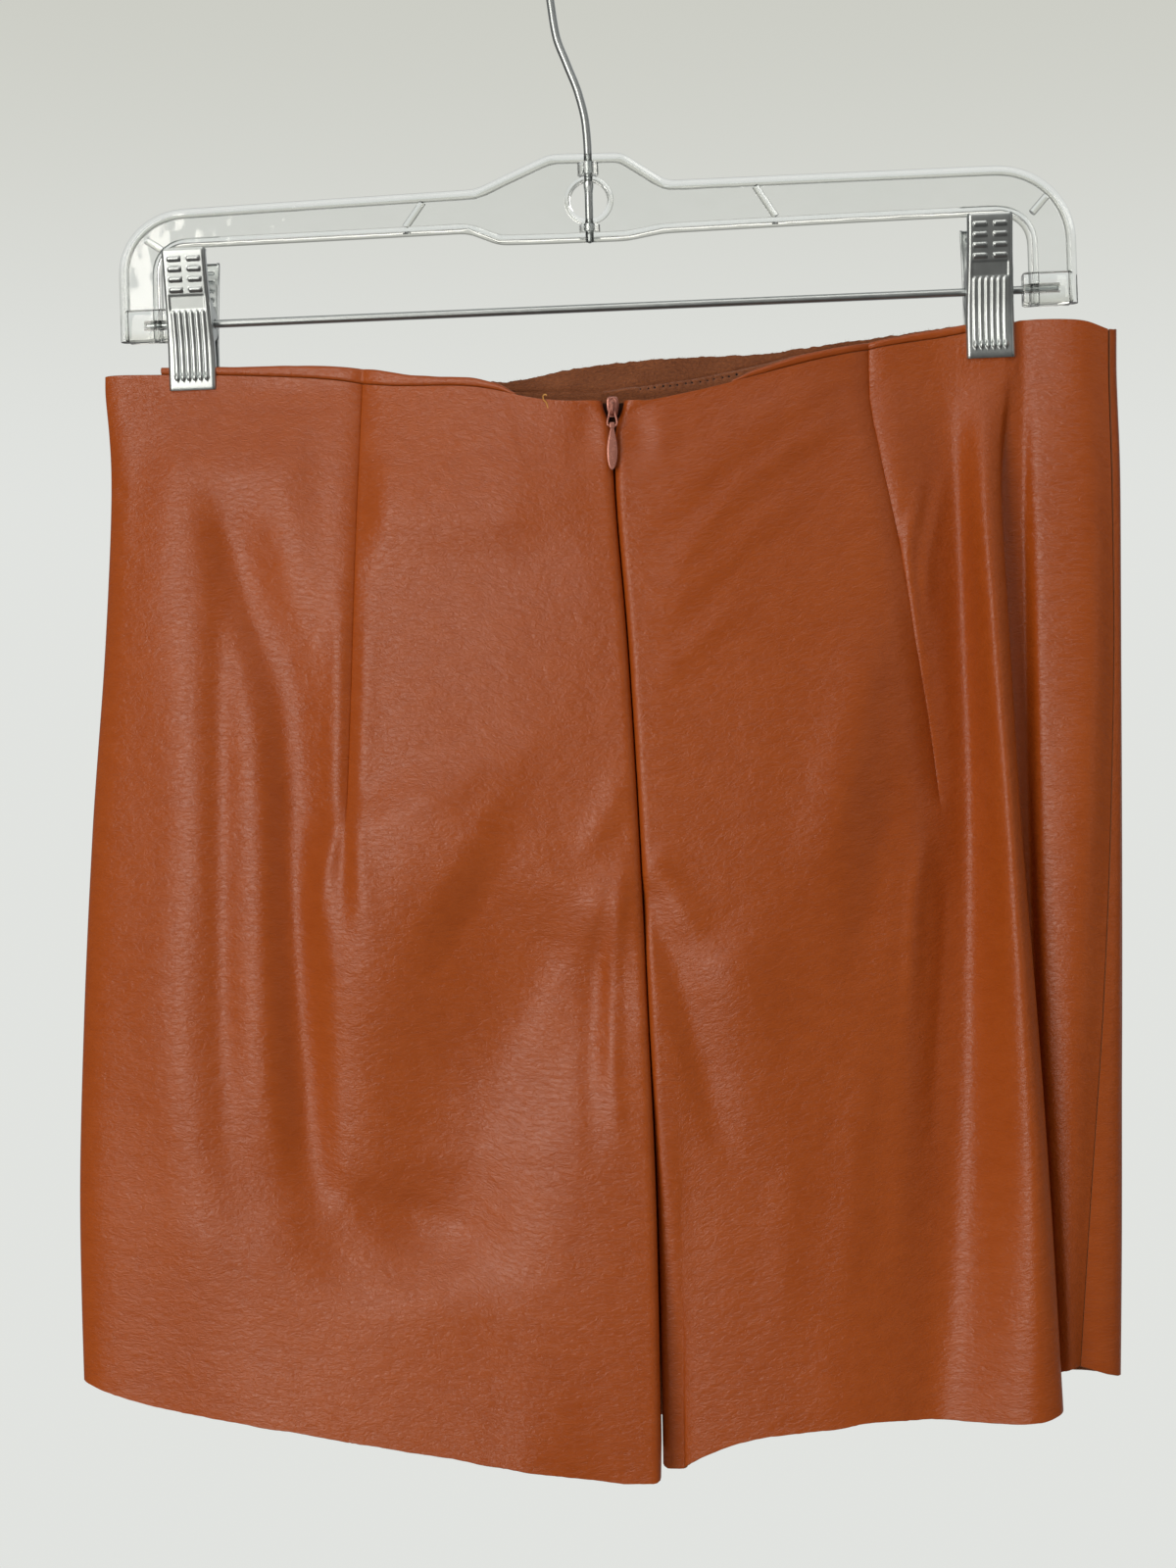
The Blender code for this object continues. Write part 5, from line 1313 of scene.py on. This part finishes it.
# Above the bar and out from it, from the thumb end to the tip.
JAW_SIDE = ((25.1, 13.3), (25.5, 13.75), (24.9, 13.95), (21.0, 13.2), (12.0, 10.8), (0.0, 7.3), (-10.0, 5.0),
            (-18.0, 4.45), (-23.2, 4.45), (-24.3, 4.3), (-25.0, 4.0))
GRIP_ROWS = (21.9, 18.3, 14.7, 11.0)
GRIP_COLUMNS = (-3.6, 3.6)
JAW_RIBS = (-5.5, -3.3, -1.1, 1.1, 3.3, 5.5)
RIM_ROUND = 1.0
RIM_DEPTH = 1.3
CLIP_SHEET = 0.8


def pressed(across, above):
    """The relief stamped into a jaw: raised grip bars at the thumb end, and ribs with pointed ends below."""
    raised = 0.0 * across
    for row in GRIP_ROWS:
        for column in GRIP_COLUMNS:
            long = ramp(2.6 - np.abs(across - column), 0.0, 0.7)
            tall = ramp(0.95 - np.abs(above - row), 0.0, 0.75)
            raised = raised + 0.55 * long * tall
    for rib in JAW_RIBS:
        taper = ramp(above, -22.2, -20.2) * ramp(4.2 - above, 0.0, 1.6)
        raised = raised + 0.42 * ramp(0.95 * taper - np.abs(across - rib), 0.0, 0.7)
        raised = raised + 0.30 * ramp(1.3 - np.abs(across - rib) - 0.6 * np.abs(above + 20.6), 0.0, 0.8)
    recess = ramp(7.0 - np.abs(across), 0.0, 0.8) * ramp(above, 3.4, 4.4) * ramp(9.6 - above, 0.0, 0.8)
    return raised - 0.25 * recess


def jaw(name, node, place, face):
    """One jaw: its side profile carried straight across, then bent in round both rims.

    face is 1 at the back and -1 at the front.
    """
    profile = along(JAW_SIDE, 150)
    half = 7.8 + 0.7 * ramp(profile[:, 0], 20.0, -20.0)
    share = np.linspace(-1.0, 1.0, 75)[:, None]
    flat = half - RIM_ROUND
    arc = RIM_ROUND * math.pi / 2
    run = np.abs(share) * (flat + arc + RIM_DEPTH)
    angle = np.clip((run - flat) / RIM_ROUND, 0.0, math.pi / 2)
    across = np.sign(share) * (np.minimum(run, flat) + RIM_ROUND * np.sin(angle))
    dip = RIM_ROUND * (1 - np.cos(angle)) + np.maximum(run - flat - arc, 0.0)
    above = np.broadcast_to(profile[:, 0], across.shape)
    out = profile[:, 1] - dip + pressed(across, above) * (dip < 0.4)
    grid = stacked(place + across, face * out, BAR_HEIGHT + above)
    places = np.broadcast_to(share * 9.0, across.shape)
    if face < 0:
        grid, places = grid[::-1], places[::-1]
    made = shell(name, grid, places, (steel, steel, steel), CLIP_SHEET, in_hanger)
    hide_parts(node)


# The corners of an ear's outline, above the bar and out from it, and how far the ears stand to either side
# of the clip's middle, by face.
EAR = np.array(((9.0, 9.3), (-8.5, 4.9), (-4.5, -3.2), (4.0, -3.2)))
EAR_PLACES = {1: 8.0, -1: 6.5}


def ear(place, face):
    """A flat ear with a hole for the bar. Its outline is the reach of each ray from the bar, rounded off."""
    angle = turns(60)
    ray = stacked(np.cos(angle), np.sin(angle))[:, None]
    start, run = EAR, np.roll(EAR, -1, axis=0) - EAR
    cross = ray[..., 0] * run[:, 1] - ray[..., 1] * run[:, 0]
    reach = (start[:, 0] * run[:, 1] - start[:, 1] * run[:, 0]) / np.where(np.abs(cross) < 1e-9, 1e-9, cross)
    reach = np.where(reach > 0, reach, 1e9).min(axis=-1)
    reach = (np.roll(reach, 1) + 2 * reach + np.roll(reach, -1)) / 4
    half = CLIP_SHEET / 2
    rings = [stacked(place + off, face * radius * np.sin(angle), BAR_HEIGHT + radius * np.cos(angle))
             for radius, off in ((reach, -half), (reach, half), (BORE, half), (BORE, -half))]
    return loft(in_hanger(np.stack(rings)), True)


def spring(place):
    """A coiled spring round the bar, with a straight leg that presses on the inside of each jaw."""
    turn = np.linspace(0.0, 2 * math.pi * 6, 150) + 0.9
    coil = stacked(place + np.linspace(-4.6, 4.6, 150), 3.05 * np.sin(turn), 3.05 * np.cos(turn))
    leg = np.linspace(0.12, 1.0, 10)[:, None]
    first, last = (start + (np.array((place + way * 5.0, way * 7.2, 8.6)) - start) * leg
                   for start, way in ((coil[0], -1), (coil[-1], 1)))
    path = np.concatenate((first[::-1], coil, last))
    path = rounded_off(np.arange(len(path), dtype=float), 1.2, path)
    return tube(in_hanger(path + (0.0, 0.0, BAR_HEIGHT)), 0.5, 8, side=(math.cos(TILT), 0.0, math.sin(TILT)))


for side, place in CLIP_PLACES.items():
    for face, which in ((1, "back"), (-1, "front")):
        jaw(f"{side}_clip_{which}_jaw", f"clip_{side}_jaw_{which}", place, face)
        ears = [ear(place + way * EAR_PLACES[face], face) for way in (-1, 1)]
        solid_piece(f"{side}_clip_{which}_ears", ears, steel)
    solid_piece(f"{side}_clip_spring_wire", [spring(place)], steel,
                f"clip_{side}_spring")
